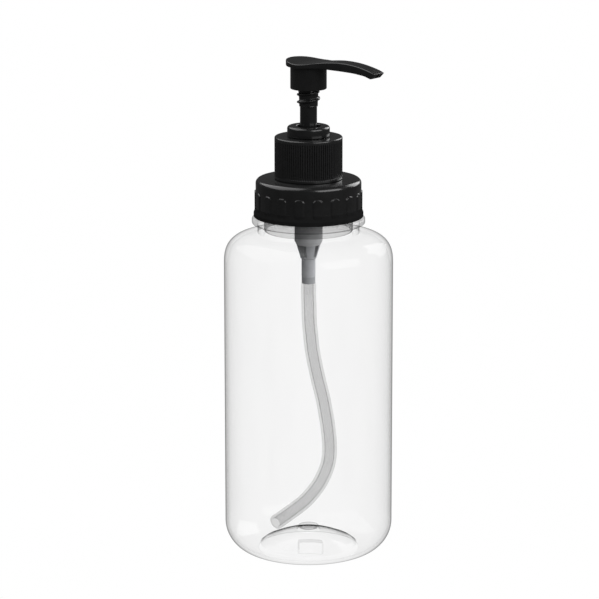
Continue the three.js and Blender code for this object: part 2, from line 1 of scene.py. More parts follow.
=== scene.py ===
"""A clear bottle with a black screw cap, a pump with a long beak, and a curled dip tube.

The bottle stands on its base with its axis on z. The camera looks along +y, so the front is -y
and the right is +x. Sizes are in millimetres and are turned into metres when a mesh is made.
"""
import bpy
import bmesh
import math
import numpy as np
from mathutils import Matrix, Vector


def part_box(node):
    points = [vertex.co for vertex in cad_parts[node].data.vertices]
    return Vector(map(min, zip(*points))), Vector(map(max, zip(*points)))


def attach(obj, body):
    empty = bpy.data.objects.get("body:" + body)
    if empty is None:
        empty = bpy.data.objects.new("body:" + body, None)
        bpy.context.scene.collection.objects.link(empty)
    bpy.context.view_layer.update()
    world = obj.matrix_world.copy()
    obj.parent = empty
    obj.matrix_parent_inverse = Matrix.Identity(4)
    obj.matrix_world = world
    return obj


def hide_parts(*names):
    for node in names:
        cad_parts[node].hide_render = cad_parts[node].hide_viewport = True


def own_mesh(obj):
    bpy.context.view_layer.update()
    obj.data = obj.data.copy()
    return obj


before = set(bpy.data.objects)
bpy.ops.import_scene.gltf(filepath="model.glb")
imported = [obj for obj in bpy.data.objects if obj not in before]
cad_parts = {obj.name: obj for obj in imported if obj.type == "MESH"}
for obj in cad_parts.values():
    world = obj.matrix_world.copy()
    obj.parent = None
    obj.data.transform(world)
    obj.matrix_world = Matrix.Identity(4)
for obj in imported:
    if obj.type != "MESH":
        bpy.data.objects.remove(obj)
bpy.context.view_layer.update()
scene = bpy.context.scene

MM = 0.001
TAU = 2 * math.pi
FRONT = -math.pi / 2                # angle of the front about z
NECK_PITCH = 4.23                   # threads of the bottle neck, cap and closure
STEM_PITCH = 3.5                    # threads of the stem and lock collar


# ---------------------------------------------------------------- curves
def smoothstep(x):
    x = min(1.0, max(0.0, x))
    return x * x * (3 - 2 * x)


def natural_cubic(points):
    """Returns the natural cubic spline through (x, y) points, held level beyond its ends."""
    X, Y = np.array(points, float).T
    count = len(X)
    span = np.diff(X)
    matrix = np.zeros((count, count))
    rhs = np.zeros(count)
    matrix[0, 0] = matrix[-1, -1] = 1
    for i in range(1, count - 1):
        matrix[i, i - 1] = span[i - 1]
        matrix[i, i] = 2 * (span[i - 1] + span[i])
        matrix[i, i + 1] = span[i]
        rhs[i] = 3 * ((Y[i + 1] - Y[i]) / span[i] - (Y[i] - Y[i - 1]) / span[i - 1])
    square = np.linalg.solve(matrix, rhs)

    def value(x):
        x = min(max(x, X[0]), X[-1])
        i = min(max(int(np.searchsorted(X, x)) - 1, 0), len(span) - 1)
        cubic = (square[i + 1] - square[i]) / (3 * span[i])
        slope = (Y[i + 1] - Y[i]) / span[i] - span[i] * (2 * square[i] + square[i + 1]) / 3
        t = x - X[i]
        return float(Y[i] + slope * t + square[i] * t * t + cubic * t ** 3)
    return value


def arc(centre_r, centre_z, radius, start, end, steps):
    """Points on an arc in the (r, z) plane; angles in degrees."""
    angles = [math.radians(start + (end - start) * i / steps) for i in range(steps + 1)]
    return [(centre_r + radius * math.cos(a), centre_z + radius * math.sin(a)) for a in angles]


def straight(r, heights):
    return [(r, z) for z in heights]


def rounded_corner(before, corner, after, radius):
    to_before, to_after = before - corner, after - corner
    len_before, len_after = np.linalg.norm(to_before), np.linalg.norm(to_after)
    u, v = to_before / len_before, to_after / len_after
    angle = math.acos(float(np.clip(u @ v, -1, 1)))
    if angle > math.pi - 1e-3:
        return [tuple(corner)]
    reach = min(radius / math.tan(angle / 2), 0.49 * len_before, 0.49 * len_after)
    radius = reach * math.tan(angle / 2)
    bisector = (u + v) / np.linalg.norm(u + v)
    centre = corner + bisector * (radius / math.sin(angle / 2))
    first, last = corner + u * reach - centre, corner + v * reach - centre
    start = math.atan2(first[1], first[0])
    turn = (math.atan2(last[1], last[0]) - start + math.pi) % TAU - math.pi
    # larger radii get more segments
    steps = max(3, int(abs(turn) * 7 / math.pi) + 2 + int(radius > 1) * 3 + int(radius > 5) * 8)
    angles = [start + turn * j / steps for j in range(steps + 1)]
    return [(centre[0] + radius * math.cos(a), centre[1] + radius * math.sin(a)) for a in angles]


def fillet(points, closed=False, step=0.0):
    """Rounds the corners given as (r, z, radius); (r, z) stays sharp. step splits long runs."""
    outline, count = [], len(points)
    for i, point in enumerate(points):
        corner = np.array(point[:2], float)
        if len(point) < 3 or (not closed and i in (0, count - 1)):
            outline.append(tuple(corner))
            continue
        before = np.array(points[i - 1][:2], float)
        after = np.array(points[(i + 1) % count][:2], float)
        outline += rounded_corner(before, corner, after, point[2])
    if not step:
        return outline
    dense, count = [], len(outline)
    for i in range(count):          # only closed outlines are split
        a, b = np.array(outline[i]), np.array(outline[(i + 1) % count])
        parts = max(1, int(np.linalg.norm(b - a) / step))
        dense += [tuple(a + (b - a) * j / parts) for j in range(parts)]
    return dense


def thread_height(z, angle, *, start_z, turns, root, crest, start_angle=0.0, pitch=NECK_PITCH):
    """Height 0..1 of a helical ridge, root wide at its foot and crest wide at its top."""
    turn = ((angle - start_angle) % TAU) / TAU
    best = 0.0
    while turn <= turns:
        distance = abs(z - (start_z + pitch * turn))
        if distance < root / 2:
            height = smoothstep((root / 2 - distance) / ((root - crest) / 2))
            ends = smoothstep(turn / 0.14) * smoothstep((turns - turn) / 0.14)
            best = max(best, height * ends)
        turn += 1
    return best


# ---------------------------------------------------------------- meshes
def mesh_object(name, verts, faces, sharp=40):
    """Makes a smooth-shaded solid from millimetre points; sharp is the crease angle, degrees."""
    mesh = bpy.data.meshes.new(name)
    mesh.from_pydata([(x * MM, y * MM, z * MM) for x, y, z in verts], [], faces)
    mesh.validate()
    bm = bmesh.new()
    bm.from_mesh(mesh)
    bmesh.ops.recalc_face_normals(bm, faces=bm.faces)
    if bm.calc_volume(signed=True) < 0:
        bmesh.ops.reverse_faces(bm, faces=bm.faces)
    bm.to_mesh(mesh)
    bm.free()
    mesh.shade_smooth()
    if sharp:
        mesh.set_sharp_from_angle(angle=math.radians(sharp))
    ob = bpy.data.objects.new(name, mesh)
    scene.collection.objects.link(ob)
    return ob


def reshade(ob, sharp):
    ob.data.shade_smooth()
    ob.data.set_sharp_from_angle(angle=math.radians(sharp))


def lathe(name, profile, segments, shape=None, sharp=40, phase=0.0):
    """Revolves (r, z) points: a closed loop, or a line that starts and ends on the axis.

    shape(r, z, angle) may move each point to a new (r, z).
    """
    on_axis = profile[0][0] < 1e-9
    verts, rings = [], []
    for r, z in profile:
        if r < 1e-9:
            rings.append([len(verts)])
            verts.append((0, 0, z))
            continue
        ring = []
        for i in range(segments):
            a = phase + TAU * i / segments
            new_r, new_z = shape(r, z, a) if shape else (r, z)
            ring.append(len(verts))
            verts.append((new_r * math.cos(a), new_r * math.sin(a), new_z))
        rings.append(ring)
    faces, count = [], len(profile)
    for k in range(count - 1 if on_axis else count):
        A, B = rings[k], rings[(k + 1) % count]
        for i in range(segments):
            j = (i + 1) % segments
            if len(A) == 1:
                faces.append((A[0], B[i], B[j]))
            elif len(B) == 1:
                faces.append((A[i], B[0], A[j]))
            else:
                faces.append((A[i], B[i], B[j], A[j]))
    return mesh_object(name, verts, faces, sharp)


def ring_quads(ring_count, size, closed=False):
    """Quads between neighbouring rings of size points each."""
    faces = []
    for k in range(ring_count if closed else ring_count - 1):
        low, high = k * size, (k + 1) % ring_count * size
        for i in range(size):
            j = (i + 1) % size
            faces.append((low + i, low + j, high + j, high + i))
    return faces


def sweep(name, rings, closed=False, sharp=40):
    """Skins a row of rings; an open row is capped at both ends."""
    size, count = len(rings[0]), len(rings)
    verts = [tuple(p) for ring in rings for p in ring]
    faces = ring_quads(count, size, closed)
    if not closed:
        faces.append(tuple(range(size - 1, -1, -1)))
        faces.append(tuple((count - 1) * size + i for i in range(size)))
    return mesh_object(name, verts, faces, sharp)


def boolean(ob, other, operation):
    """Applies other to ob and removes other."""
    modifier = ob.modifiers.new(operation, "BOOLEAN")
    modifier.operation = operation
    modifier.object = other
    modifier.solver = "EXACT"
    bpy.context.view_layer.update()
    evaluated = ob.evaluated_get(bpy.context.evaluated_depsgraph_get())
    mesh = bpy.data.meshes.new_from_object(evaluated)
    ob.modifiers.clear()
    old = ob.data
    ob.data = mesh
    mesh.name = ob.name
    bpy.data.meshes.remove(old)
    bpy.data.objects.remove(other)


def barred_ring(name, profile, segments, bar_angles, half_length, half_width, bar_heights):
    """A ring crossed by flat bars, each narrowed at its lowest and highest level."""
    ring = lathe(name, fillet(profile, True), segments)
    corners = ((-1, -1), (1, -1), (1, 1), (-1, 1))
    for angle in bar_angles:
        c, s = math.cos(angle), math.sin(angle)
        levels = []
        for z, narrow in zip(bar_heights, (0.8, 1, 1, 0.8)):
            flat = [(i * half_length, j * half_width * narrow) for i, j in corners]
            levels.append([(x * c - y * s, x * s + y * c, z) for x, y in flat])
        boolean(ring, sweep("bar", levels), "UNION")
    reshade(ring, 35)
    return ring


def zones(ob, materials, pick):
    """Gives each face the material that pick(centre in mm, normal) returns."""
    ob.data.materials.clear()
    for material in materials:
        ob.data.materials.append(material)
    for face in ob.data.polygons:
        face.material_index = materials.index(pick(face.center / MM, face.normal))


def place(ob, body, node, material=None, tolerance=0.6):
    """Rides ob on its body in place of a CAD node, and checks that it fills the same box."""
    if material:
        ob.data.materials.clear()
        ob.data.materials.append(material)
    low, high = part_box(node)
    points = np.array([v.co for v in ob.data.vertices], float).reshape(-1, 3)
    miss = max(np.abs(points.min(0) - np.array(low)).max(),
               np.abs(points.max(0) - np.array(high)).max()) / MM
    if miss > tolerance:
        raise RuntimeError(f"{ob.name} misses the box of {node} by {miss:.2f} mm")
    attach(ob, body)
    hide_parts(node)
    return ob


# ---------------------------------------------------------------- shader graphs
class Graph:
    """The node tree of a material or a world. A socket given as an input is linked."""

    def __init__(self, owner, output_kind):
        owner.use_nodes = True
        self.owner = owner
        self.tree = owner.node_tree
        self.tree.nodes.clear()
        self.output = self.node(output_kind)

    def node(self, kind, inputs=None, **settings):
        node = self.tree.nodes.new(kind)
        for setting, value in settings.items():
            setattr(node, setting, value)
        for key, value in (inputs or {}).items():
            if hasattr(value, "links"):
                self.tree.links.new(value, node.inputs[key])
            else:
                node.inputs[key].default_value = value
        return node

    def finish(self, surface):
        self.tree.links.new(surface, self.output.inputs["Surface"])
        return self.owner

    def mix_shader(self, factor, first, second):
        return self.node("ShaderNodeMixShader", {0: factor, 1: first, 2: second}).outputs[0]


class Material(Graph):
    def __init__(self, name):
        super().__init__(bpy.data.materials.new(name), "ShaderNodeOutputMaterial")
        self.coords = self.node("ShaderNodeTexCoord").outputs["Object"]

    def noise(self, scale, detail=3, rough=0.5, stretch=None):
        coords = self.coords
        if stretch:
            mapping = self.node("ShaderNodeMapping", {"Scale": stretch, "Vector": coords})
            coords = mapping.outputs["Vector"]
        inputs = {"Scale": scale, "Detail": detail, "Roughness": rough, "Vector": coords}
        return self.node("ShaderNodeTexNoise", inputs).outputs["Fac"]

    def remap(self, value, to=(0, 1), over=(0.3, 0.7)):
        """Maps the range over onto the range to."""
        return self.node("ShaderNodeMapRange", {
            "From Min": over[0], "From Max": over[1], "To Min": to[0], "To Max": to[1],
            "Value": value}).outputs["Result"]

    def mix_colour(self, factor, first, second):
        mix = self.node("ShaderNodeMix", {0: factor}, data_type="RGBA")
        for index, colour in ((6, first), (7, second)):
            linked = hasattr(colour, "links")
            mix.inputs[index].default_value = (0, 0, 0, 1) if linked else (*colour, 1)
            if linked:
                self.tree.links.new(colour, mix.inputs[index])
        return mix.outputs[2]

    def math(self, operation, a, b=0.0):
        return self.node("ShaderNodeMath", {0: a, 1: b}, operation=operation).outputs[0]

    def split(self, vector):
        return self.node("ShaderNodeSeparateXYZ", {0: vector}).outputs

    def scaled(self, vector, factor):
        inputs = {0: vector, "Scale": factor}
        return self.node("ShaderNodeVectorMath", inputs, operation="SCALE").outputs[0]

    def band(self, z, rise, fall):
        """1 between two heights; rise and fall are the height ranges of its soft edges."""
        return self.math("MULTIPLY", self.remap(z, over=[h * MM for h in rise]),
                         self.remap(z, to=(1, 0), over=[h * MM for h in fall]))

    def curve(self, value, stops):
        """Greys against value, through (position, grey) stops."""
        node = self.node("ShaderNodeValToRGB", {0: value})
        elements = node.color_ramp.elements
        while len(elements) > 1:
            elements.remove(elements[0])
        elements[0].position = stops[0][0]
        for i, (position, grey) in enumerate(stops):
            element = elements.new(position) if i else elements[0]
            element.color = (grey, grey, grey, 1)
        return node.outputs[0]

    def bump(self, height, strength, distance, normal=None):
        inputs = {"Strength": strength, "Distance": distance, "Height": height}
        if normal is not None:
            inputs["Normal"] = normal
        return self.node("ShaderNodeBump", inputs).outputs["Normal"]

    def principled(self, inputs):
        return self.finish(self.node("ShaderNodeBsdfPrincipled", inputs).outputs[0])


# ---------------------------------------------------------------- materials
def black_plastic(name, rough, base, grooves=None, satin=None):
    """Moulded black plastic: faint mottling, fine grain, lighter glossier edges, faint scuffs.

    base: mean grey. grooves: painted shade darkening the valleys between fine ribs. satin: soft
    edges of a dull band.
    """
    k = Material(name)
    mottle = k.noise(scale=260, detail=4, rough=0.6)
    edge = k.node("ShaderNodeNewGeometry").outputs["Pointiness"]
    colour = k.mix_colour(k.remap(mottle), (base * 0.88,) * 3,
                          (base * 1.12, base * 1.13, base * 1.15))
    lighter_edge = k.remap(edge, to=(0, 0.5), over=(0.53, 0.62))
    colour = k.mix_colour(lighter_edge, colour, (base * 1.7,) * 3)
    # painted shade: the colour goes darker in the valleys between the fine ribs
    if grooves:
        x, y, z = k.split(k.coords)
        square = k.math("ADD", k.math("MULTIPLY", x, x), k.math("MULTIPLY", y, y))
        deep = k.remap(k.math("SQRT", square), to=(1, 0), over=[r * MM for r in grooves["radii"]])
        band = k.band(z, grooves["rise"], grooves["fall"])
        colour = k.mix_colour(k.math("MULTIPLY", deep, band), colour, (grooves["grey"],) * 3)
    scuff = k.noise(scale=900, detail=2, rough=0.5, stretch=(1, 1, 0.08))
    roughness = k.math("ADD", k.remap(mottle, to=(rough - 0.02, rough + 0.02)),
                       k.remap(scuff, to=(0.0, 0.04), over=(0.62, 0.8)))
    polish = k.remap(edge, to=(0, 0.04), over=(0.53, 0.6))
    grain = k.bump(k.noise(scale=5200, detail=2), strength=0.03, distance=0.00001)
    sinks = k.bump(k.noise(scale=120, detail=2, rough=0.4), strength=0.05, distance=0.00004,
                   normal=grain)
    inputs = {"Base Color": colour, "Roughness": k.math("SUBTRACT", roughness, polish),
              "Normal": sinks, "IOR": 1.49}
    if satin:
        dull = k.band(k.split(k.coords)[2], satin["rise"], satin["fall"])
        inputs["Specular IOR Level"] = k.remap(dull, to=(0.5, 0.0), over=(0, 1))
    return k.principled(inputs)


def see_through(name, stops, *, gloss=0.0, rough=0.0, body=None, opacity=0.0, translucency=0.4,
                level_stops=None, side_light=None, foot=None):
    """A clear or cloudy moulded wall, drawn surface by surface.

    stops: (cosine between surface and eye, transmission), so a wall seen edge-on goes grey.
    gloss, rough: strength and roughness of the skin's reflection.
    body, opacity: colour and share of the wall that scatters light like solid plastic.
    level_stops: stops for level faces. side_light: painted side light, body brightness scaled by
    facing left and right.
    foot: (low z, high z, brightness at low z), greyer towards the bottom.
    """
    k = Material(name)
    geometry = k.node("ShaderNodeNewGeometry").outputs
    dot = k.node("ShaderNodeVectorMath", {0: geometry["Normal"], 1: geometry["Incoming"]},
                 operation="DOT_PRODUCT")
    facing = k.math("ABSOLUTE", dot.outputs["Value"])
    passed = k.curve(facing, stops)
    if level_stops:
        level = k.math("ABSOLUTE", k.split(geometry["Normal"])[2])
        passed = k.mix_colour(k.remap(level, over=(0.6, 0.97)), passed,
                              k.curve(facing, level_stops))
    if foot:
        low, high, shade = foot
        z = k.split(k.coords)[2]
        passed = k.scaled(passed, k.remap(z, to=(shade, 1), over=(low * MM, high * MM)))
    wisps = k.noise(scale=90, detail=4, rough=0.55, stretch=(1, 1, 0.2))
    clear = k.mix_colour(k.remap(wisps, to=(0.99, 1.01), over=(0.2, 0.8)), (0, 0, 0), passed)
    surface = k.node("ShaderNodeBsdfTransparent", {"Color": clear}).outputs[0]
    if body:
        mottle = k.noise(scale=300, detail=4, rough=0.6)
        colour = k.mix_colour(k.remap(mottle), [c * 0.95 for c in body],
                              [min(1, c * 1.05) for c in body])
        # painted light from the right: the body colour is scaled by the normal's x, darker facing
        # left, lighter facing right
        if side_light:
            across = k.split(geometry["Normal"])[0]
            colour = k.scaled(colour, k.remap(across, to=side_light, over=(-1, 1)))
        diffuse = k.node("ShaderNodeBsdfDiffuse", {"Color": colour}).outputs[0]
        translucent = k.node("ShaderNodeBsdfTranslucent", {"Color": colour}).outputs[0]
        solid = k.mix_shader(translucency, diffuse, translucent)
        surface = k.mix_shader(k.remap(mottle, to=(opacity * 0.97, opacity * 1.03)),
                               surface, solid)
    if gloss:                       # the skin shines more towards the edges
        waves = k.noise(scale=24, detail=2, rough=0.4, stretch=(1, 1, 0.35))
        skin = k.node("ShaderNodeBsdfGlossy", {
            "Color": k.math("MULTIPLY", k.remap(facing, to=(1.7, 0.6), over=(0.4, 0.85)), gloss),
            "Roughness": k.remap(wisps, to=(rough * 0.8, rough * 1.3)),
            "Normal": k.bump(waves, strength=0.06, distance=0.0008)}).outputs[0]
        surface = k.node("ShaderNodeAddShader", {0: surface, 1: skin}).outputs[0]
    return k.finish(surface)


def smoke_housing(name, colour, gloss=0.03, side_light=None):
    return see_through(name, [(0.0, 0.3), (1.0, 0.4)], gloss=gloss, rough=0.2, body=colour,
                       opacity=0.92, translucency=0.25, side_light=side_light)


def natural_plastic(name, colour, rough):
    k = Material(name)
    mottle = k.noise(scale=340, detail=4, rough=0.6)
    return k.principled({
        "Base Color": k.mix_colour(k.remap(mottle), [c * 0.93 for c in colour], colour),
        "Roughness": k.remap(mottle, to=(rough - 0.05, rough + 0.08)),
        "Subsurface Weight": 0.25,
        "Subsurface Radius": (0.001, 0.001, 0.0009),
        "Normal": k.bump(k.noise(scale=4200, detail=2), strength=0.2, distance=0.00002)})


def metal(name, colour, rough, streak):
    """streak: noise scale on each axis."""
    k = Material(name)
    streaks = k.noise(scale=2600, detail=3, rough=0.6, stretch=streak)
    return k.principled({
        "Metallic": 1,
        "Base Color": k.mix_colour(k.remap(streaks), [c * 0.82 for c in colour], colour),
        "Roughness": k.remap(streaks, to=(rough * 0.7, rough * 1.5)),
        "Normal": k.bump(streaks, strength=0.12, distance=0.00002)})


def foam(name):
    k = Material(name)
    cells = k.node("ShaderNodeTexVoronoi", {"Scale": 2600, "Vector": k.coords})
    cells = cells.outputs["Distance"]
    return k.principled({
        "Base Color": k.mix_colour(k.remap(cells, over=(0.1, 0.5)),
                                   (0.52, 0.52, 0.49), (0.76, 0.76, 0.72)),
        "Roughness": 0.9,
        "Normal": k.bump(cells, strength=0.5, distance=0.0001)})


# (cosine between surface and eye, transmission)
WALL_STOPS = [
    (0.0, 0.27), (0.055, 0.41), (0.108, 0.53), (0.187, 0.705), (0.241, 0.789), (0.285, 0.833),
    (0.323, 0.855), (0.357, 0.881), (0.388, 0.890), (0.417, 0.903), (0.443, 0.912),
    (0.492, 0.928), (0.564, 0.943), (0.62, 0.952), (0.77, 0.961), (1.0, 0.969)]
LEVEL_STOPS = [(0.0, 0.42), (0.1, 0.6), (0.17, 0.83), (0.23, 0.92), (0.3, 0.93), (0.5, 0.945),
               (1.0, 0.969)]
BASE_STOPS = [(0.0, 0.08), (0.09, 0.16), (0.17, 0.42), (0.23, 0.75), (0.30, 0.88), (0.5, 0.945),
              (1.0, 0.969)]
INSIDE_STOPS = [(0.0, 0.93), (0.25, 0.985), (1.0, 0.99)]

CAP_BLACK = black_plastic("cap_black", rough=0.20, base=0.0105,
                          satin={"rise": (163.0, 163.2), "fall": (167.4, 167.7)})
# the closure gets painted shade in its rib valleys
CLOSURE_BLACK = black_plastic("closure_black", rough=0.22, base=0.0115, grooves={
    "radii": (15.58, 15.88), "rise": (182.0, 182.4), "fall": (199.0, 199.4), "grey": 0.0045})
HEAD_BLACK = black_plastic("head_black", rough=0.20, base=0.0095)
BOTTLE_CLEAR = see_through("bottle_clear", WALL_STOPS, gloss=0.014, rough=0.03,
                           level_stops=LEVEL_STOPS)
BOTTLE_INSIDE = see_through("bottle_clear_inside", INSIDE_STOPS)
BOTTLE_BASE = see_through("bottle_clear_base", BASE_STOPS, gloss=0.010, rough=0.03)
# painted shade: the gate recess and its lip under the base are drawn darker
GATE_RECESS_SHADE = see_through("bottle_gate_recess",
                          [(0.0, 0.35), (0.2, 0.50), (0.3, 0.62), (1.0, 0.8)])
GATE_LIP_SHADE = see_through("bottle_gate_lip",
                       [(0.0, 0.25), (0.2, 0.34), (0.3, 0.44), (0.5, 0.76), (1.0, 0.82)])
# painted shade: dark lines along the pad's rear and left edges, and a fainter band round its
# outline
PAD_STEP_SHADE = see_through("bottle_pad_step", [(0.0, 0.6), (0.5, 0.80), (1.0, 0.84)])
PAD_EDGE_SHADE = see_through("bottle_pad_edge", [(0.0, 0.87), (0.5, 0.90), (1.0, 0.90)])
BOTTLE_RING = see_through(
    "bottle_clear_ring", [(0.0, 0.28), (0.15, 0.60), (0.3, 0.76), (0.6, 0.84), (1.0, 0.86)],
    gloss=0.014, rough=0.06)
SEAL_SMOKE = see_through(
    "seal_smoke", [(0.0, 0.25), (0.12, 0.44), (0.3, 0.62), (0.5, 0.70), (1.0, 0.725)],
    gloss=0.010, rough=0.15, body=(0.5, 0.5, 0.5), opacity=0.02)
SEAL_INSIDE = see_through("seal_smoke_inside", INSIDE_STOPS)
# the housing greys carry painted side light, darker on the left-facing side, lighter on the
# right-facing side
HOUSING = smoke_housing("housing_smoke", (0.735, 0.74, 0.75), side_light=(0.6, 1.28))
# painted shade: the pockets between the chamber ribs get a darker grey
HOUSING_POCKET_SHADE = smoke_housing("housing_pocket", (0.36, 0.365, 0.37), gloss=0.0)
HOUSING_SPIGOT = smoke_housing("housing_spigot", (0.61, 0.62, 0.64), side_light=(0.54, 1.2))
# painted shade: a darker band round the foot of the spigot
HOUSING_FOOT_SHADE = smoke_housing("housing_spigot_foot", (0.46, 0.47, 0.485), side_light=(0.6, 1.25))
HOUSING_NIPPLE = see_through("housing_nipple", [(0.0, 0.97), (1.0, 0.985)])
TUBE_NATURAL = see_through(
    "tube_natural", [(0.0, 0.72), (0.1, 0.84), (0.3, 0.87), (1.0, 0.87)], gloss=0.012,
    rough=0.12, body=(0.75, 0.75, 0.76), opacity=0.03, translucency=0.5, foot=(21, 36, 0.955))
TUBE_BORE = see_through(
    "tube_natural_bore", [(0.0, 0.40), (0.25, 0.60), (0.42, 0.80), (0.56, 0.905), (1.0, 0.91)])
NATURAL = natural_plastic("natural_acetal", (0.80, 0.80, 0.78), rough=0.42)
STEEL = metal("ball_steel", (0.74, 0.75, 0.77), rough=0.10, streak=(1, 1, 1))
WIRE = metal("spring_wire", (0.66, 0.67, 0.69), rough=0.22, streak=(0.3, 0.3, 2.0))
FOAM = foam("gasket_foam")

# ---------------------------------------------------------------- bottle
BODY_R = 40
INSIDE_R = 38.95
HEEL_R = 14.5                       # outside radius of the bottom corner
INSIDE_HEEL_R = 12.8
SHOULDER_Z = 139.9                  # where the shoulder leaves the straight wall
NECK_R = 22.3
NECK_BORE_R = 20.95
PAD_CENTRE = (0.95, -15.25)         # rounded blank pad under the base
PAD_HALF = (5.75, 4.35)
PAD_CORNER = 1.2

# domed base, (r, z)
dome_outside = natural_cubic([
    (0, 8.75), (4.75, 8.3), (9, 7.45), (12, 6.6), (17.5, 4.3), (21.5, 2.1), (23.3, 0.75),
    (24.4, 0.0)])
dome_inside = natural_cubic([
    (0, 9.4), (5, 9.1), (9, 8.42), (13.3, 7.15), (17.5, 5.5), (20, 4.42), (21.5, 3.65),
    (23.2, 2.35), (24.5, 1.95), (26.2, 1.85)])


def pad_distance(x, y):
    """Distance outside the outline of the pad."""
    over_x = abs(x - PAD_CENTRE[0]) - (PAD_HALF[0] - PAD_CORNER)
    over_y = abs(y - PAD_CENTRE[1]) - (PAD_HALF[1] - PAD_CORNER)
    return math.hypot(max(over_x, 0), max(over_y, 0)) - PAD_CORNER


def bottle_outside():
    """From the centre of the base out and up to the support ring and mouth."""
    profile = fillet([(0.0, 9.95), (1.5, 9.95), (3.0, 9.94), (4.42, 9.92, 0.25),
                      (4.62, dome_outside(4.62), 0.25), (5.3, dome_outside(5.3))])
    for i in range(14, 60):
        r = 24.2 * i / 60
        profile.append((r, max(0.0, dome_outside(r))))
    profile += [(24.35, 0.03), (24.6, 0.0), (25.5, 0.0)]
    profile += arc(BODY_R - HEEL_R, HEEL_R, HEEL_R, -88, 0, 26)
    profile += straight(BODY_R, np.linspace(20, 136, 20)) + [(BODY_R, SHOULDER_Z)]
    width, height, exponent, steps = 17.0, 14.6, 2.84, 34       # superellipse shoulder
    for i in range(1, steps):
        a = i / steps * math.pi / 2
        profile.append((BODY_R - width + width * math.cos(a) ** (2 / exponent),
                        SHOULDER_Z + height * math.sin(a) ** (2 / exponent)))
    profile += fillet([
        (23.1, 154.5), (23.9, 155.0, 0.4), (23.9, 159.4, 0.45), (26.6, 159.4, 0.85),
        (26.6, 162.3, 0.7), (NECK_R, 162.3, 0.6), (NECK_R, 164.0)])[1:]
    return profile + straight(NECK_R, np.arange(164.3, 176.2, 0.22))


def bottle_inside():
    """From the mouth down the bore and wall to the centre of the base."""
    profile = fillet([(NECK_R, 176.4), (NECK_R, 177.5, 0.45), (NECK_BORE_R, 177.5, 0.4),
                      (NECK_BORE_R, 176.0), (NECK_BORE_R, 154.4)])[1:]
    profile += fillet([
        (NECK_BORE_R, 154.4), (NECK_BORE_R, 153.0, 0.9), (26.5, 152.9, 2.0), (32.4, 151.6, 6.0),
        (36.8, 148.0, 6.0), (INSIDE_R, 139.5, 8.0), (INSIDE_R, 120)])[1:]
    profile += straight(INSIDE_R, np.linspace(110, 16, 18))
    profile += arc(INSIDE_R - INSIDE_HEEL_R, 14.65, INSIDE_HEEL_R, 0, -88, 22)
    for i in range(1, 60):
        r = 25.6 * (1 - i / 60)
        centre_rise = 2.1 * smoothstep((5.4 - r) / 0.8)
        profile.append((r, dome_inside(r) + centre_rise))
    return profile + [(0.0, 11.5)]


def shape_bottle(r, z, a):
    """Draws the body in slightly, cuts the neck thread and sinks the pad."""
    r -= 0.18 * smoothstep((r - 28.0) / 9.0)
    if 163.5 < z < 176.5 and NECK_R - 0.1 < r < NECK_R + 0.1:
        r += 1.15 * thread_height(z, a, start_z=166.4, turns=1.3, root=2.3, crest=0.75,
                                  start_angle=0.4)
    if z < 8.0 and 11.0 < r < 21.5 and z < dome_outside(r) + 0.3:
        outside = pad_distance(r * math.cos(a), r * math.sin(a))
        z -= 0.45 * smoothstep((0.25 - outside) / 0.5)
    return r, z


def bottle_zone(c, n):
    r = math.hypot(c.x, c.y)
    outward = (n.x * c.x + n.y * c.y) / max(r, 1e-6)
    if r > 23.6 and 159.0 < c.z < 162.6:
        return BOTTLE_RING
    if r < 21.2 and c.z > 152.5:                        # bore
        return BOTTLE_INSIDE
    if c.z > 20 and outward < -0.05 and r < 39.3:       # inside of the wall
        return BOTTLE_INSIDE
    if c.z > 140 and n.z < -0.2 and r < 39:             # underside of the shoulder
        return BOTTLE_INSIDE
    if c.z <= 20 and n.z > 0.05 and r < 39.3:           # inside: the dome, then the corner
        return BOTTLE_BASE if r < 23.0 else BOTTLE_INSIDE
    if c.z < 10.2 and n.z < -0.05 and r < 23.8:         # underside of the dome
        # the gate recess and its lip take painted-shade greys
        if r < 4.35:
            return GATE_LIP_SHADE if r > 3.3 else GATE_RECESS_SHADE
        # painted shade lines on the pad's rear and left edges; a fainter one round the rest of its
        # outline
        if -11.9 < c.y < -10.0 and -4.9 < c.x < 6.6:    # rear edge of the pad
            return PAD_STEP_SHADE
        if abs(c.x + 4.7) < 0.35 and -16.5 < c.y < -11.0:   # left edge of the pad
            return PAD_STEP_SHADE
        return PAD_EDGE_SHADE if abs(pad_distance(c.x, c.y)) < 0.4 else BOTTLE_INSIDE
    if c.z <= 20 and outward < -0.3 and r > 26.5:
        return BOTTLE_INSIDE
    return BOTTLE_CLEAR


bottle = lathe("bottle_shell", bottle_outside() + bottle_inside(), 192, shape_bottle, sharp=50)
zones(bottle, [BOTTLE_CLEAR, BOTTLE_INSIDE, BOTTLE_RING, BOTTLE_BASE, PAD_STEP_SHADE, GATE_RECESS_SHADE,
               PAD_EDGE_SHADE, GATE_LIP_SHADE], bottle_zone)
place(bottle, "bottle", "bottle")


# ---------------------------------------------------------------- plug seal
def seal_zone(c, n):
    inner = math.hypot(c.x, c.y) < 20.3 and n.x * c.x + n.y * c.y < 0
    return SEAL_INSIDE if inner else SEAL_SMOKE


SEAL_PROFILE = [
    (20.8, 155.9, 0.35), (20.8, 177.8, 0.3), (23.15, 177.8, 0.25), (23.15, 178.9, 0.25),
    (19.5, 178.9, 0.3), (19.5, 155.9, 0.35)]
seal = lathe("plug_seal_ring", fillet(SEAL_PROFILE, True, step=1.5), 160)
zones(seal, [SEAL_SMOKE, SEAL_INSIDE], seal_zone)
place(seal, "cap_seal", "cap_plug_seal")

# ---------------------------------------------------------------- wide cap
CAP_R = 24.8
CAP_BORE_R = 23.75
CAP_RIB_ANGLE = TAU / 18
SPOUT_R = 12.85                     # threaded neck on top of the cap


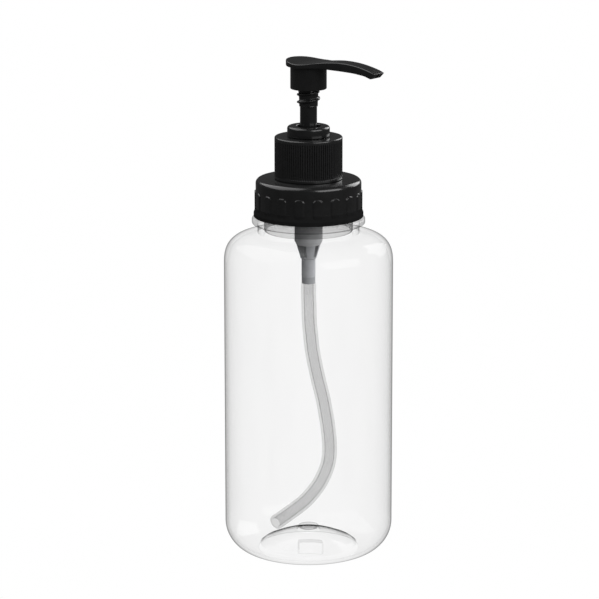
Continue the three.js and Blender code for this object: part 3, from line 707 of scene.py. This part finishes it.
def cap_profile():
    profile = fillet([(24.3, 162.8), (25.78, 162.8, 0.45), (25.78, 164.75, 0.35),
                      (25.5, 165.45)])
    profile += [(25.5 - 0.35 * (z - 165.45), z) for z in np.arange(165.6, 167.3, 0.15)]
    profile += straight(CAP_R, np.linspace(167.5, 172.6, 10))
    profile += straight(CAP_R, np.linspace(172.8, 175.4, 44))
    profile += fillet([(CAP_R, 175.6), (CAP_R, 180.8, 2.1), (SPOUT_R, 180.8, 0.5),
                       (SPOUT_R, 182.6)])
    profile += straight(SPOUT_R, np.arange(182.8, 194.6, 0.25))
    profile += fillet([
        (SPOUT_R, 195.0), (SPOUT_R, 196.6, 0.35), (9.2, 196.6, 0.4), (9.2, 179.15, 0.3),
        (CAP_BORE_R, 179.15, 0.4), (CAP_BORE_R, 176.5)])
    profile += straight(CAP_BORE_R, np.arange(176.2, 165.2, -0.25))
    return profile + fillet([(CAP_BORE_R, 165.0), (CAP_BORE_R, 163.5, 0.3), (24.3, 162.8)])[:-1]


def shape_cap(r, z, a):
    if 165.5 < z < 175.5 and 24.7 < r < 25.55:          # ribs with bullet-shaped top ends
        across = abs(((a - FRONT) / CAP_RIB_ANGLE) % 1.0 - 0.5) * CAP_RIB_ANGLE * CAP_R
        distance = math.hypot(max(across - 0.35, 0), max(z - 173.15, 0))
        flank = 0.7 - 0.42 * smoothstep((z - 173.0) / 1.0)
        r = max(r, CAP_R + 0.5 * smoothstep((2.1 - distance) / flank))
    if 164 < z < 177 and 23.7 < r < 23.8:
        r -= 1.15 * thread_height(z, a, start_z=168.5, turns=1.2, root=2.2, crest=0.7,
                                  start_angle=0.4)
    if 182 < z < 196 and abs(r - SPOUT_R) < 0.01:
        r += 0.85 * thread_height(z, a, start_z=185.4, turns=1.5, root=2.2, crest=0.75)
    return r, z


cap = lathe("screw_cap_body", cap_profile(), 720, shape_cap, sharp=55, phase=FRONT)
place(cap, "cap", "screw_cap", CAP_BLACK)

# ---------------------------------------------------------------- pump closure with fine ribs
CLOSURE_R = 15.92
CLOSURE_BORE_R = 14.15
CLOSURE_RIBS = 90


def closure_profile():
    profile = fillet([(14.35, 181.1), (CLOSURE_R, 181.1, 0.12), (CLOSURE_R, 181.35)])
    profile += straight(CLOSURE_R, (181.7, 182.0, 182.2, 182.4, 182.6, 182.8, 183.4))
    profile += straight(CLOSURE_R, np.linspace(185, 197.5, 8))
    profile += straight(CLOSURE_R, (198.7, 198.95, 199.2, 199.4))
    profile += fillet([
        (CLOSURE_R, 199.5), (CLOSURE_R, 200.8, 1.1), (8.95, 200.8, 0.25), (8.95, 199.3, 0.2),
        (CLOSURE_BORE_R, 199.3, 0.3), (CLOSURE_BORE_R, 195.6)])
    profile += straight(CLOSURE_BORE_R, np.arange(195.4, 184.8, -0.25))
    return profile + straight(CLOSURE_BORE_R, (184.5, 181.5))


def shape_closure(r, z, a):
    if 181.9 < z < 199.5 and abs(r - CLOSURE_R) < 1e-6:
        ridge = abs(math.cos(math.pi * (((a - FRONT) / TAU * CLOSURE_RIBS) % 1.0)))
        ends = smoothstep((z - 181.9) / 0.9) * smoothstep((199.4 - z) / 0.7)
        r -= 0.42 * (1 - ridge ** 0.55) * ends
    if 184.7 < z < 195.6 and 14.1 < r < 14.2:
        r -= 1.1 * thread_height(z, a, start_z=187.5, turns=1.5, root=2.1, crest=0.7)
    return r, z


closure = lathe("closure_shell", closure_profile(), CLOSURE_RIBS * 8, shape_closure, sharp=60,
                phase=FRONT)
place(closure, "closure", "pump_closure", CLOSURE_BLACK)

GASKET_PROFILE = [(9.5, 196.85, 0.1), (13.6, 196.85, 0.1), (13.6, 197.65, 0.1), (9.5, 197.65, 0.1)]
place(lathe("gasket_ring", fillet(GASKET_PROFILE, True), 96),
      "pump", "neck_gasket", FOAM)

# ---------------------------------------------------------------- lock collar
COLLAR_BORE_R = 5.75


def collar_profile():
    profile = fillet([
        (7.3, 187.2, 0.25), (7.3, 199.3, 0.1), (8.6, 199.3, 0.1), (8.6, 201.1, 0.1),
        (9.98, 201.1, 0.2), (9.98, 205.8, 1.2), (COLLAR_BORE_R, 205.8, 0.35),
        (COLLAR_BORE_R, 203.6)], True)
    profile += straight(COLLAR_BORE_R, np.arange(203.4, 196.6, -0.14))
    profile += straight(COLLAR_BORE_R, (196.4, 190.2))
    return profile + fillet([
        (COLLAR_BORE_R, 190.2), (COLLAR_BORE_R, 189.4, 0.4), (4.06, 189.4, 0.2),
        (4.06, 187.2, 0.3), (7.0, 187.2)])[1:-1]


def shape_collar(r, z, a):
    if 196.5 < z < 203.5 and abs(r - COLLAR_BORE_R) < 1e-6:
        r -= 0.67 * thread_height(z, a, start_z=199.0, turns=0.85, root=1.5, crest=0.5,
                                  start_angle=math.pi / 2, pitch=STEM_PITCH)
    return r, z


place(lathe("lock_collar_ring", collar_profile(), 144, shape_collar),
      "pump", "lock_collar", HEAD_BLACK)

# ---------------------------------------------------------------- pump housing
HOUSING_PROFILE = [
    (13.6, 197.95, 0.2), (13.6, 199.0, 0.2), (7.5, 199.0, 0.3), (7.5, 187.0, 0.4),
    (5.3, 186.3, 0.3), (5.3, 151.6, 0.6), (2.75, 151.6, 0.2), (2.75, 146.2, 0.1),
    (1.5, 144.9, 0.1), (1.3, 124.5, 0.1), (2.2, 124.5, 0.3), (2.2, 130.5, 0.1),
    (3.22, 130.5, 0.25), (3.22, 133.7), (3.28, 133.75), (3.28, 142.3, 0.2),
    (3.85, 142.75, 0.12), (3.85, 143.3, 0.1), (3.62, 143.5, 0.1), (3.62, 145.0),
    (3.62, 147.0), (3.62, 148.5), (3.62, 149.1, 0.15), (5.7, 149.25, 0.25),
    (6.6, 151.0, 0.5), (6.6, 185.8, 0.5), (8.7, 186.6, 0.6), (8.7, 197.95, 0.3)]
# four broad ribs round the ball chamber: (middle, half width), degrees from the front
CHAMBER_RIBS = ((11.5, 25), (95, 36), (191.5, 25), (274, 25))


def chamber_rib_r(z):
    return 3.8 + (z - 143.0) * 0.3


def shape_housing(r, z, a):
    if 143.0 < z < 149.4 and r > 3.4:
        degrees = math.degrees(a) + 90
        outside = min(abs((degrees - middle + 180) % 360 - 180) - half
                      for middle, half in CHAMBER_RIBS)
        rib = smoothstep(0.5 - outside / 2.0)
        r = max(r, r + rib * (chamber_rib_r(z) - r))
    return r, z


def housing_zone(c, n):
    r = math.hypot(c.x, c.y)
    if c.z < 130.45:
        return HOUSING_NIPPLE
    # pocket walls and floors take the painted-shade grey
    if 143.4 < c.z < 149.3 and r > 3.0 and (r < chamber_rib_r(c.z) - 0.12 or n.z < -0.8):
        return HOUSING_POCKET_SHADE
    # the spigot's foot takes the painted-shade grey
    if c.z < 133.72:
        return HOUSING_FOOT_SHADE
    return HOUSING_SPIGOT if c.z < 149.2 else HOUSING


housing = lathe("housing_barrel", fillet(HOUSING_PROFILE, True, step=3.0), 360, shape_housing,
                sharp=38)
zones(housing, [HOUSING, HOUSING_SPIGOT, HOUSING_NIPPLE, HOUSING_POCKET_SHADE, HOUSING_FOOT_SHADE],
      housing_zone)
place(housing, "pump", "pump_housing")

# ---------------------------------------------------------------- inner works
CAGE_PROFILE = [(3.35, 152.15, 0.2), (5.1, 152.15, 0.25), (5.1, 154.25, 0.25), (3.35, 154.25, 0.2)]
cage = barred_ring("ball_cage_ring", CAGE_PROFILE, 96, bar_angles=(0.4, 0.4 + math.pi / 2),
                   half_length=3.8, half_width=0.45, bar_heights=(152.2, 152.32, 153.25, 153.4))
place(cage, "pump", "ball_cage", NATURAL)


def build_ball(name, radius, z):
    profile = [(0, z - radius)]
    for i in range(1, 32):
        a = math.pi * i / 32
        profile.append((radius * math.sin(a), z - radius * math.cos(a)))
    return lathe(name, profile + [(0, z + radius)], 64, sharp=0)


place(build_ball("inlet_ball_steel", radius=2.35, z=146.83),
      "inlet_valve", "inlet_ball", STEEL)
place(build_ball("outlet_ball_steel", radius=2.1, z=226.49),
      "outlet_valve", "outlet_ball", STEEL)


def build_spring():
    coil_r, wire_r, low_z, high_z = 4.0, 0.45, 154.85, 175.45
    turns, steps_per_turn, wire_sides = 8, 48, 14
    end_share, end_rise = 0.11, 0.035       # close-wound ends: share of the turns, of the rise
    steps = turns * steps_per_turn
    rings = []
    for i in range(steps + 1):
        t = i / steps
        if t < end_share:
            rise = end_rise * t / end_share
        elif t > 1 - end_share:
            rise = 1 - end_rise * (1 - t) / end_share
        else:
            rise = end_rise + (1 - 2 * end_rise) * (t - end_share) / (1 - 2 * end_share)
        angle, z = t * turns * TAU, low_z + (high_z - low_z) * rise
        wire = wire_r * (0.35 + 0.65 * smoothstep(min(i, steps - i) / 2.0))     # tapered tips
        ring = []
        for j in range(wire_sides):
            around = TAU * j / wire_sides
            r = coil_r + wire * math.cos(around)
            ring.append((r * math.cos(angle), r * math.sin(angle), z + wire * math.sin(around)))
        rings.append(ring)
    return sweep("spring_coil", rings)


spring = place(build_spring(), "pump", "return_spring", WIRE)
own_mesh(spring)

PISTON_PROFILE = [
    (2.0, 176.3, 0.1), (4.7, 176.3, 0.2), (5.17, 176.8, 0.2), (5.17, 177.6, 0.2),
    (4.85, 178.2, 0.2), (4.85, 182.4, 0.2), (5.17, 183.2, 0.2), (5.17, 184.0, 0.2),
    (4.9, 184.3, 0.1), (4.05, 184.3, 0.1), (4.05, 177.95, 0.1), (2.0, 177.9, 0.1)]
ROD_PROFILE = [
    (0, 172.4), (1.8, 172.4, 0.2), (2.9, 175.3, 0.2), (2.9, 176.05, 0.12), (1.45, 176.05, 0.15),
    (1.45, 188.0, 0.2), (1.8, 188.4, 0.15), (1.8, 192.4, 0.3), (1.3, 193.2, 0.2), (0, 193.2)]
place(lathe("piston_body", fillet(PISTON_PROFILE, True), 96),
      "plunger", "piston", NATURAL)
place(lathe("piston_rod_pin", fillet(ROD_PROFILE), 64),
      "plunger", "piston_rod", NATURAL)


# ---------------------------------------------------------------- stem
def stem_profile():
    profile = fillet([(1.95, 178.2, 0.15), (3.98, 178.2, 0.25), (3.98, 214.6, 0.3),
                      (4.4, 215.3)])
    for z in np.arange(215.4, 222.3, 0.12):         # flared, threaded part
        r = np.interp(z, [215.3, 219, 221, 222.2], [4.35, 4.45, 4.6, 4.8])
        profile.append((float(r), z))
    return profile + fillet([
        (4.82, 222.3), (4.87, 222.95, 0.12), (3.91, 223.0, 0.05), (3.91, 231.0, 0.2),
        (2.6, 231.0, 0.2), (2.6, 226.2, 0.15), (1.5, 224.9, 0.1), (1.95, 224.2, 0.2),
        (1.95, 200.0), (1.95, 178.6)])


def shape_stem(r, z, a):
    if 215.0 < z < 222.6 and r > 4.2:
        r += max(0.0, 5.4 - r) * thread_height(
            z, a, start_z=216.1, turns=1.82, root=1.8, crest=0.5, start_angle=math.pi / 2,
            pitch=STEM_PITCH)
    return r, z


place(lathe("stem_tube", stem_profile(), 192, shape_stem, sharp=45),
      "head", "stem", HEAD_BLACK)

RETAINER_PROFILE = [(1.75, 229.6, 0.1), (2.5, 229.6, 0.15), (2.5, 231.0, 0.15), (1.75, 231.0, 0.1)]
retainer = barred_ring("retainer_plug", RETAINER_PROFILE, 64, bar_angles=(0,), half_length=2.0,
                       half_width=0.35, bar_heights=(229.65, 229.75, 230.3, 230.4))
place(retainer, "head", "outlet_ball_retainer", NATURAL)

# ---------------------------------------------------------------- actuator head
# The head is drawn with its beak along +x and then turned about z.
HEAD_TURN = math.radians(-38)
DISC_R = 10.55
WAIST_HALF = 6.55                   # half width where the disc outline ends
TIP_X = 41.08
TIP_CORNER = 0.26
CHANNEL_R = 1.05

# (x along the beak, z)
head_top = natural_cubic([
    (-10.6, 237.2), (-8, 236.9), (-6, 236.6), (-4, 236.3), (-2, 236.02), (0, 235.88),
    (2, 235.88), (4, 236.02), (6, 236.22), (8, 236.5), (10, 236.8), (12, 237.08), (16, 237.5),
    (20, 237.72), (24, 237.66), (28, 237.36), (32, 236.78), (36, 235.92), (38.2, 235.32),
    (40.0, 234.68), (41.2, 234.2)])
head_underside = natural_cubic([
    (-10.6, 234.15), (0, 233.95), (8, 234.0), (14, 234.0), (20, 233.85), (26, 233.65),
    (30.8, 233.4), (34.75, 233.1), (37.1, 232.84), (38.7, 232.5), (41.2, 231.75)])
# (x along the beak, half width)
beak_half_width = natural_cubic([
    (8.4, 6.3), (9.2, 5.7), (10.4, 5.25), (12, 5.0), (16, 4.8), (20, 4.35), (24, 4.1),
    (28, 3.92), (32, 3.82), (36, 3.8), (41.2, 3.8)])
# (x along the beak, z) of the channel's centre line
CHANNEL_PATH = [np.array(p) for p in (
    (-1.2, 234.3), (0.4, 234.45), (4, 234.75), (10, 235.3), (16, 235.75), (22, 235.8),
    (28, 235.45), (32, 234.95), (35, 234.4), (37.2, 233.8), (39.0, 233.2), (42.4, 231.75))]

HUB_PROFILE = [(0, 223.3), (8.5, 223.3, 0.35), (8.5, 233.75, 0.9), (9.6, 234.25, 0.2),
               (9.6, 234.9), (0, 234.9)]
SOCKET_PROFILE = [(0, 222.3), (4.06, 222.3), (4.06, 231.35, 0.2), (1.9, 231.35), (1.9, 234.6),
                  (0, 234.6)]
RELIEF_PROFILE = [(5.75, 222.3), (7.15, 222.3), (7.15, 232.1, 0.4), (5.75, 232.1, 0.4)]


def turned(x, y, z):
    c, s = math.cos(HEAD_TURN), math.sin(HEAD_TURN)
    return (x * c - y * s, x * s + y * c, z)


def head_side():
    """One side of the plan outline, from the rear of the disc to the tip."""
    side = []
    for i in range(61):
        a = math.pi - (math.pi - math.asin(WAIST_HALF / DISC_R)) * i / 60
        side.append((DISC_R * math.cos(a), DISC_R * math.sin(a)))
    for x in np.arange(side[-1][0] + 0.35, TIP_X - TIP_CORNER, 0.55):
        side.append((x, beak_half_width(x)))
    centre_x, centre_y = TIP_X - TIP_CORNER, beak_half_width(TIP_X) - TIP_CORNER
    for i in range(1, 9):
        a = math.pi / 2 * (1 - i / 8)
        side.append((centre_x + TIP_CORNER * math.cos(a), centre_y + TIP_CORNER * math.sin(a)))
    side = np.array(side)
    for _ in range(14):             # soften the waist where the disc runs into the beak
        waist = (side[:, 0] > 5.0) & (side[:, 0] < 14.0)
        smooth = side.copy()
        smooth[1:-1] = (side[:-2] + 2 * side[1:-1] + side[2:]) / 4
        side[waist] = smooth[waist]
    return side


def head_ring(plan, surface, offset):
    """Puts plan points on a surface plus offset; towards the tip, lower points lean back."""
    ring = []
    for (x, y), rise in zip(plan, offset):
        z = surface(x) + rise
        lean = 0.96 * smoothstep((x - 26) / 14.0)
        ring.append(turned(x - lean * (head_top(x) - z), y, z))
    return ring


def build_head_shell():
    side = head_side()
    outline = np.array([tuple(p) for p in side] + [(x, -y) for x, y in side[::-1] if y > 1e-6])
    size = len(outline)
    tangent = np.roll(outline, -1, 0) - np.roll(outline, 1, 0)
    outward = np.stack([-tangent[:, 1], tangent[:, 0]], 1)
    outward /= np.linalg.norm(outward, axis=1)[:, None]
    spine_x = np.clip(outline[:, 0], -0.5, TIP_X - 3.0)
    spine_x = np.where(outline[:, 0] < 0, outline[:, 0] * 0.25, spine_x)
    spine = np.stack([spine_x, np.zeros(size)], 1)

    # edge roundings, crisper at the lip
    near_tip = np.array([smoothstep((x - 37.2) / 2.8) for x in outline[:, 0]])[:, None]
    top_round, under_round = 0.38 - 0.13 * near_tip, 0.5 - 0.25 * near_tip

    def face_ring(share, rounding, surface):
        plan = spine + (outline - outward * rounding - spine) * share
        return head_ring(plan, surface, np.zeros(size))

    def edge_ring(step, rounding, surface, direction):
        a = math.pi / 2 * step / 6
        plan = outline - outward * (rounding - rounding * math.sin(a))
        return head_ring(plan, surface, direction * (rounding - rounding * math.cos(a))[:, 0])

    # from the middle of the underside, round the edge, to the middle of the top
    rings = [face_ring(share, under_round, head_underside)
             for share in (0.06, 0.2, 0.4, 0.6, 0.78, 0.9)]
    rings += [edge_ring(step, under_round, head_underside, 1) for step in range(7)]
    rings += [edge_ring(step, top_round, head_top, -1) for step in range(6, -1, -1)]
    rings += [face_ring(share, top_round, head_top)
              for share in (0.92, 0.8, 0.66, 0.5, 0.34, 0.18, 0.05)]
    verts = [p for ring in rings for p in ring]
    faces = ring_quads(len(rings), size)
    # close the two thin slots along the spine with strips between mirrored points
    for base, order in ((0, -1), ((len(rings) - 1) * size, 1)):
        for i in range(len(side) - 1):
            strip = list(dict.fromkeys((i, i + 1, size - i - 1, (size - i) % size)))
            faces.append(tuple(base + v for v in strip[::order]))
    shell = mesh_object("actuator_shell", verts, faces, sharp=0)
    bm = bmesh.new()
    bm.from_mesh(shell.data)
    bmesh.ops.remove_doubles(bm, verts=bm.verts, dist=1e-6)
    bmesh.ops.dissolve_degenerate(bm, edges=bm.edges, dist=1e-6)
    holes = [e for e in bm.edges if e.is_boundary]
    if holes:
        bmesh.ops.holes_fill(bm, edges=holes, sides=0)
    bmesh.ops.recalc_face_normals(bm, faces=bm.faces)
    bm.to_mesh(shell.data)
    bm.free()
    return shell


def build_channel():
    """Round cutter along a Catmull-Rom curve through CHANNEL_PATH."""
    last = len(CHANNEL_PATH) - 1
    rings = []
    for k in range(61):
        s = k / 60 * last
        i = min(int(s), last - 1)
        t = s - i
        p0, p1, p2, p3 = (CHANNEL_PATH[max(0, min(last, q))] for q in range(i - 1, i + 3))
        linear, square = -p0 + p2, 2 * p0 - 5 * p1 + 4 * p2 - p3
        cubic = -p0 + 3 * p1 - 3 * p2 + p3
        centre = 0.5 * (2 * p1 + linear * t + square * t * t + cubic * t ** 3)
        tangent = 0.5 * (linear + 2 * square * t + 3 * cubic * t * t)
        normal = np.array([-tangent[1], tangent[0]]) / np.linalg.norm(tangent)
        ring = []
        for j in range(28):
            a = TAU * j / 28
            x, z = centre + normal * CHANNEL_R * math.sin(a)
            ring.append(turned(x, CHANNEL_R * math.cos(a), z))
        rings.append(ring)
    return sweep("channel", rings)


def build_head():
    head = build_head_shell()
    boolean(head, lathe("hub", fillet(HUB_PROFILE), 144), "UNION")
    boolean(head, lathe("socket", fillet(SOCKET_PROFILE), 96), "DIFFERENCE")
    boolean(head, lathe("relief", fillet(RELIEF_PROFILE, True), 96), "DIFFERENCE")
    boolean(head, build_channel(), "DIFFERENCE")
    reshade(head, 38)
    return head


place(build_head(), "head", "actuator_head", HEAD_BLACK, tolerance=1.2)

# ---------------------------------------------------------------- dip tube
TUBE_R = 3.54
TUBE_BORE_R = 2.32
TUBE_STEPS = 150
TUBE_SIDES = 48
# (x, y, z) of the centre line, from the top down
TUBE_STATIONS = [
    (0, 0, 130.3), (0.02, 0, 125.83), (0.24, 0, 118.06), (0.52, 0.3, 110.2),
    (1.09, 0.6, 104.27), (1.71, 1, 98.3), (3.09, 1.7, 90.28), (4.76, 2.5, 82.2),
    (6.68, 3.4, 74.07), (8.17, 4.2, 65.94), (9.38, 4.8, 57.83), (10.06, 4.8, 49.87),
    (10.07, 4.5, 45.97), (9.64, 4, 42.13), (8.63, 3, 38.43), (7, 1.5, 34.88),
    (4.89, -0.3, 31.42), (2.01, -2.6, 28.12), (-1.43, -5.2, 24.92), (-6.2, -8.2, 21.86),
    (-11.44, -11.3, 18.83), (-15.52, -13.6, 16.57)]


def centripetal_curve(stations, steps):
    """Centripetal Catmull-Rom curve, with steps points for each span."""
    P = np.array(stations)
    P = np.vstack([2 * P[0] - P[1], P, 2 * P[-1] - P[-2]])

    def blend(t, start, end, a, b):
        return (end - t) / (end - start) * a + (t - start) / (end - start) * b

    curve = []
    for p0, p1, p2, p3 in zip(P, P[1:], P[2:], P[3:]):
        t1 = np.linalg.norm(p1 - p0) ** 0.5
        t2 = t1 + np.linalg.norm(p2 - p1) ** 0.5
        t3 = t2 + np.linalg.norm(p3 - p2) ** 0.5
        for k in range(steps):
            t = t1 + (t2 - t1) * k / steps
            middle = blend(t, t1, t2, p1, p2)
            before = blend(t, 0, t2, blend(t, 0, t1, p0, p1), middle)
            after = blend(t, t1, t3, middle, blend(t, t2, t3, p2, p3))
            curve.append(blend(t, t1, t2, before, after))
    curve.append(P[-2])
    return np.array(curve)


def tube_centre_line():
    curve = centripetal_curve(TUBE_STATIONS, 20)
    run = np.concatenate([[0], np.cumsum(np.linalg.norm(np.diff(curve, axis=0), axis=1))])
    even = np.linspace(0, run[-1], TUBE_STEPS + 1)
    return np.stack([np.interp(even, run, curve[:, k]) for k in range(3)], 1)


def build_tube(centres):
    tangents = np.gradient(centres, axis=0)
    tangents /= np.linalg.norm(tangents, axis=1)[:, None]
    across = np.array([1.0, 0, 0])
    frames = []
    for tangent in tangents:
        across = across - tangent * (across @ tangent)
        across /= np.linalg.norm(across)
        frames.append((across, np.cross(tangent, across)))
    last = TUBE_STEPS
    cut = tangents[last] + 0.42 * np.array([0.0, -0.973, 0.231])   # normal of the slanted end

    def ring(i, radius, shift=0.0):
        a, b = frames[i]
        slant = max(0.0, 1 - (last - i) / 7.0)
        points = []
        for j in range(TUBE_SIDES):
            angle = TAU * j / TUBE_SIDES
            spoke = radius * (math.cos(angle) * a + math.sin(angle) * b)
            along = shift - slant * (spoke @ cut) / (tangents[last] @ cut)
            points.append(tuple(centres[i] + spoke + along * tangents[i]))
        return points

    rings = [ring(0, TUBE_R - 0.12), ring(0, TUBE_R, 0.12)]
    rings += [ring(i, TUBE_R) for i in range(1, last)]
    rings += [ring(last, TUBE_R, -0.12), ring(last, TUBE_R - 0.12)]
    rings += [ring(last, TUBE_BORE_R + 0.08), ring(last, TUBE_BORE_R, -0.1)]
    rings += [ring(i, TUBE_BORE_R) for i in range(last - 1, 0, -1)]
    rings += [ring(0, TUBE_BORE_R, 0.1), ring(0, TUBE_BORE_R + 0.08)]
    return sweep("dip_tube_curl", rings, closed=True, sharp=45)


tube_centres = tube_centre_line()


def tube_zone(c, n):
    distance = np.linalg.norm(tube_centres - np.array(c), axis=1)
    nearest = Vector(tube_centres[int(distance.argmin())])
    inner = (c - nearest).dot(n) < 0 and distance.min() < 2.7
    return TUBE_BORE if inner else TUBE_NATURAL


tube = build_tube(tube_centres)
zones(tube, [TUBE_NATURAL, TUBE_BORE], tube_zone)
place(tube, "pump", "dip_tube", tolerance=1.7)

# ---------------------------------------------------------------- floor and world, in metres
# The eye sees a white sweep; reflections and diffuse light see a darker studio.
REFLECTED = 0.07
AMBIENT = 0.30
base_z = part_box("bottle")[0].z
floor_z = base_z - 0.0002


def floor_material():
    k = Material("floor_pale")
    rays = k.node("ShaderNodeLightPath").outputs
    tint = k.mix_colour(k.remap(k.noise(scale=6, detail=4)), (0.998, 0.998, 0.998), (1, 1, 1))
    seen = k.node("ShaderNodeEmission", {"Color": tint}).outputs[0]
    extra = k.math("MULTIPLY", rays["Is Diffuse Ray"], AMBIENT - REFLECTED)
    strength = k.math("ADD", extra, REFLECTED)
    dim = k.node("ShaderNodeEmission", {"Strength": strength}).outputs[0]
    return k.finish(k.mix_shader(rays["Is Camera Ray"], dim, seen))


def build_floor():
    """A level floor that curves up into a backdrop behind the bottle."""
    half_width, bend_y, bend_r = 2.6, 0.9, 0.6
    side_view = [(-1.1, floor_z), (bend_y, floor_z)]
    for a in np.linspace(0, math.pi / 2, 17)[1:]:
        side_view.append((bend_y + bend_r * math.sin(a), floor_z + bend_r - bend_r * math.cos(a)))
    side_view.append((bend_y + bend_r, 2.2))
    verts = [(s * half_width, y, z) for y, z in side_view for s in (-1, 1)]
    faces = [(2 * i, 2 * i + 1, 2 * i + 3, 2 * i + 2) for i in range(len(side_view) - 1)]
    mesh = bpy.data.meshes.new("floor_sweep")
    mesh.from_pydata(verts, [], faces)
    mesh.shade_smooth()
    floor = bpy.data.objects.new("floor_sweep", mesh)
    scene.collection.objects.link(floor)
    mesh.materials.append(floor_material())


def build_world():
    scene.world = bpy.data.worlds.new("studio")
    k = Graph(scene.world, "ShaderNodeOutputWorld")
    rays = k.node("ShaderNodeLightPath").outputs
    strength = k.node("ShaderNodeMath", {
        0: rays["Is Diffuse Ray"], 1: AMBIENT - REFLECTED, 2: REFLECTED},
        operation="MULTIPLY_ADD").outputs[0]
    dim = k.node("ShaderNodeBackground", {"Color": (0.97, 0.98, 1.0, 1), "Strength": strength})
    seen = k.node("ShaderNodeBackground", {"Color": (1, 1, 1, 1), "Strength": 1.0})
    k.finish(k.mix_shader(rays["Is Camera Ray"], dim.outputs[0], seen.outputs[0]))


build_floor()
build_world()


# ---------------------------------------------------------------- lights and camera, in metres
def softbox(name, azimuth, elevation, size, radiance):
    """A soft rectangular light; azimuth 0 is the viewer's side, positive to the right."""
    target, distance = Vector((0, 0, 0.15)), 1.15
    a, e = math.radians(azimuth), math.radians(elevation)
    direction = Vector((math.sin(a) * math.cos(e), -math.cos(a) * math.cos(e), math.sin(e)))
    data = bpy.data.lights.new(name, "AREA")
    data.shape = "RECTANGLE"
    data.size, data.size_y = size
    data.energy = radiance * math.pi * size[0] * size[1]
    light = bpy.data.objects.new(name, data)
    scene.collection.objects.link(light)
    light.location = target + distance * direction
    light.rotation_euler = (-distance * direction).to_track_quat("-Z", "Y").to_euler()


softbox("left_high", azimuth=-105, elevation=56, size=(1.9, 1.33), radiance=2.3)
softbox("right_front", azimuth=48, elevation=27, size=(1.15, 0.72), radiance=4.2)
softbox("right_back", azimuth=135, elevation=24, size=(0.80, 0.68), radiance=4.2)

lens = bpy.data.cameras.new("camera")
camera = bpy.data.objects.new("camera", lens)
scene.collection.objects.link(camera)
camera.location = (0, -1.4313, 0.4621 + base_z)
camera.rotation_euler = (math.radians(90 - 13.35), 0, 0)    # tilted 13.35 degrees down
lens.sensor_width = 36
lens.lens = 187.15192
lens.shift_x = -0.015025042
lens.clip_start = 0.05
lens.clip_end = 20
scene.camera = camera

scene.view_settings.view_transform = "Standard"
scene.view_settings.look = "None"
scene.cycles.max_bounces = 16
scene.cycles.transmission_bounces = 12
scene.cycles.transparent_max_bounces = 24
scene.cycles.glossy_bounces = 6
scene.cycles.caustics_reflective = False
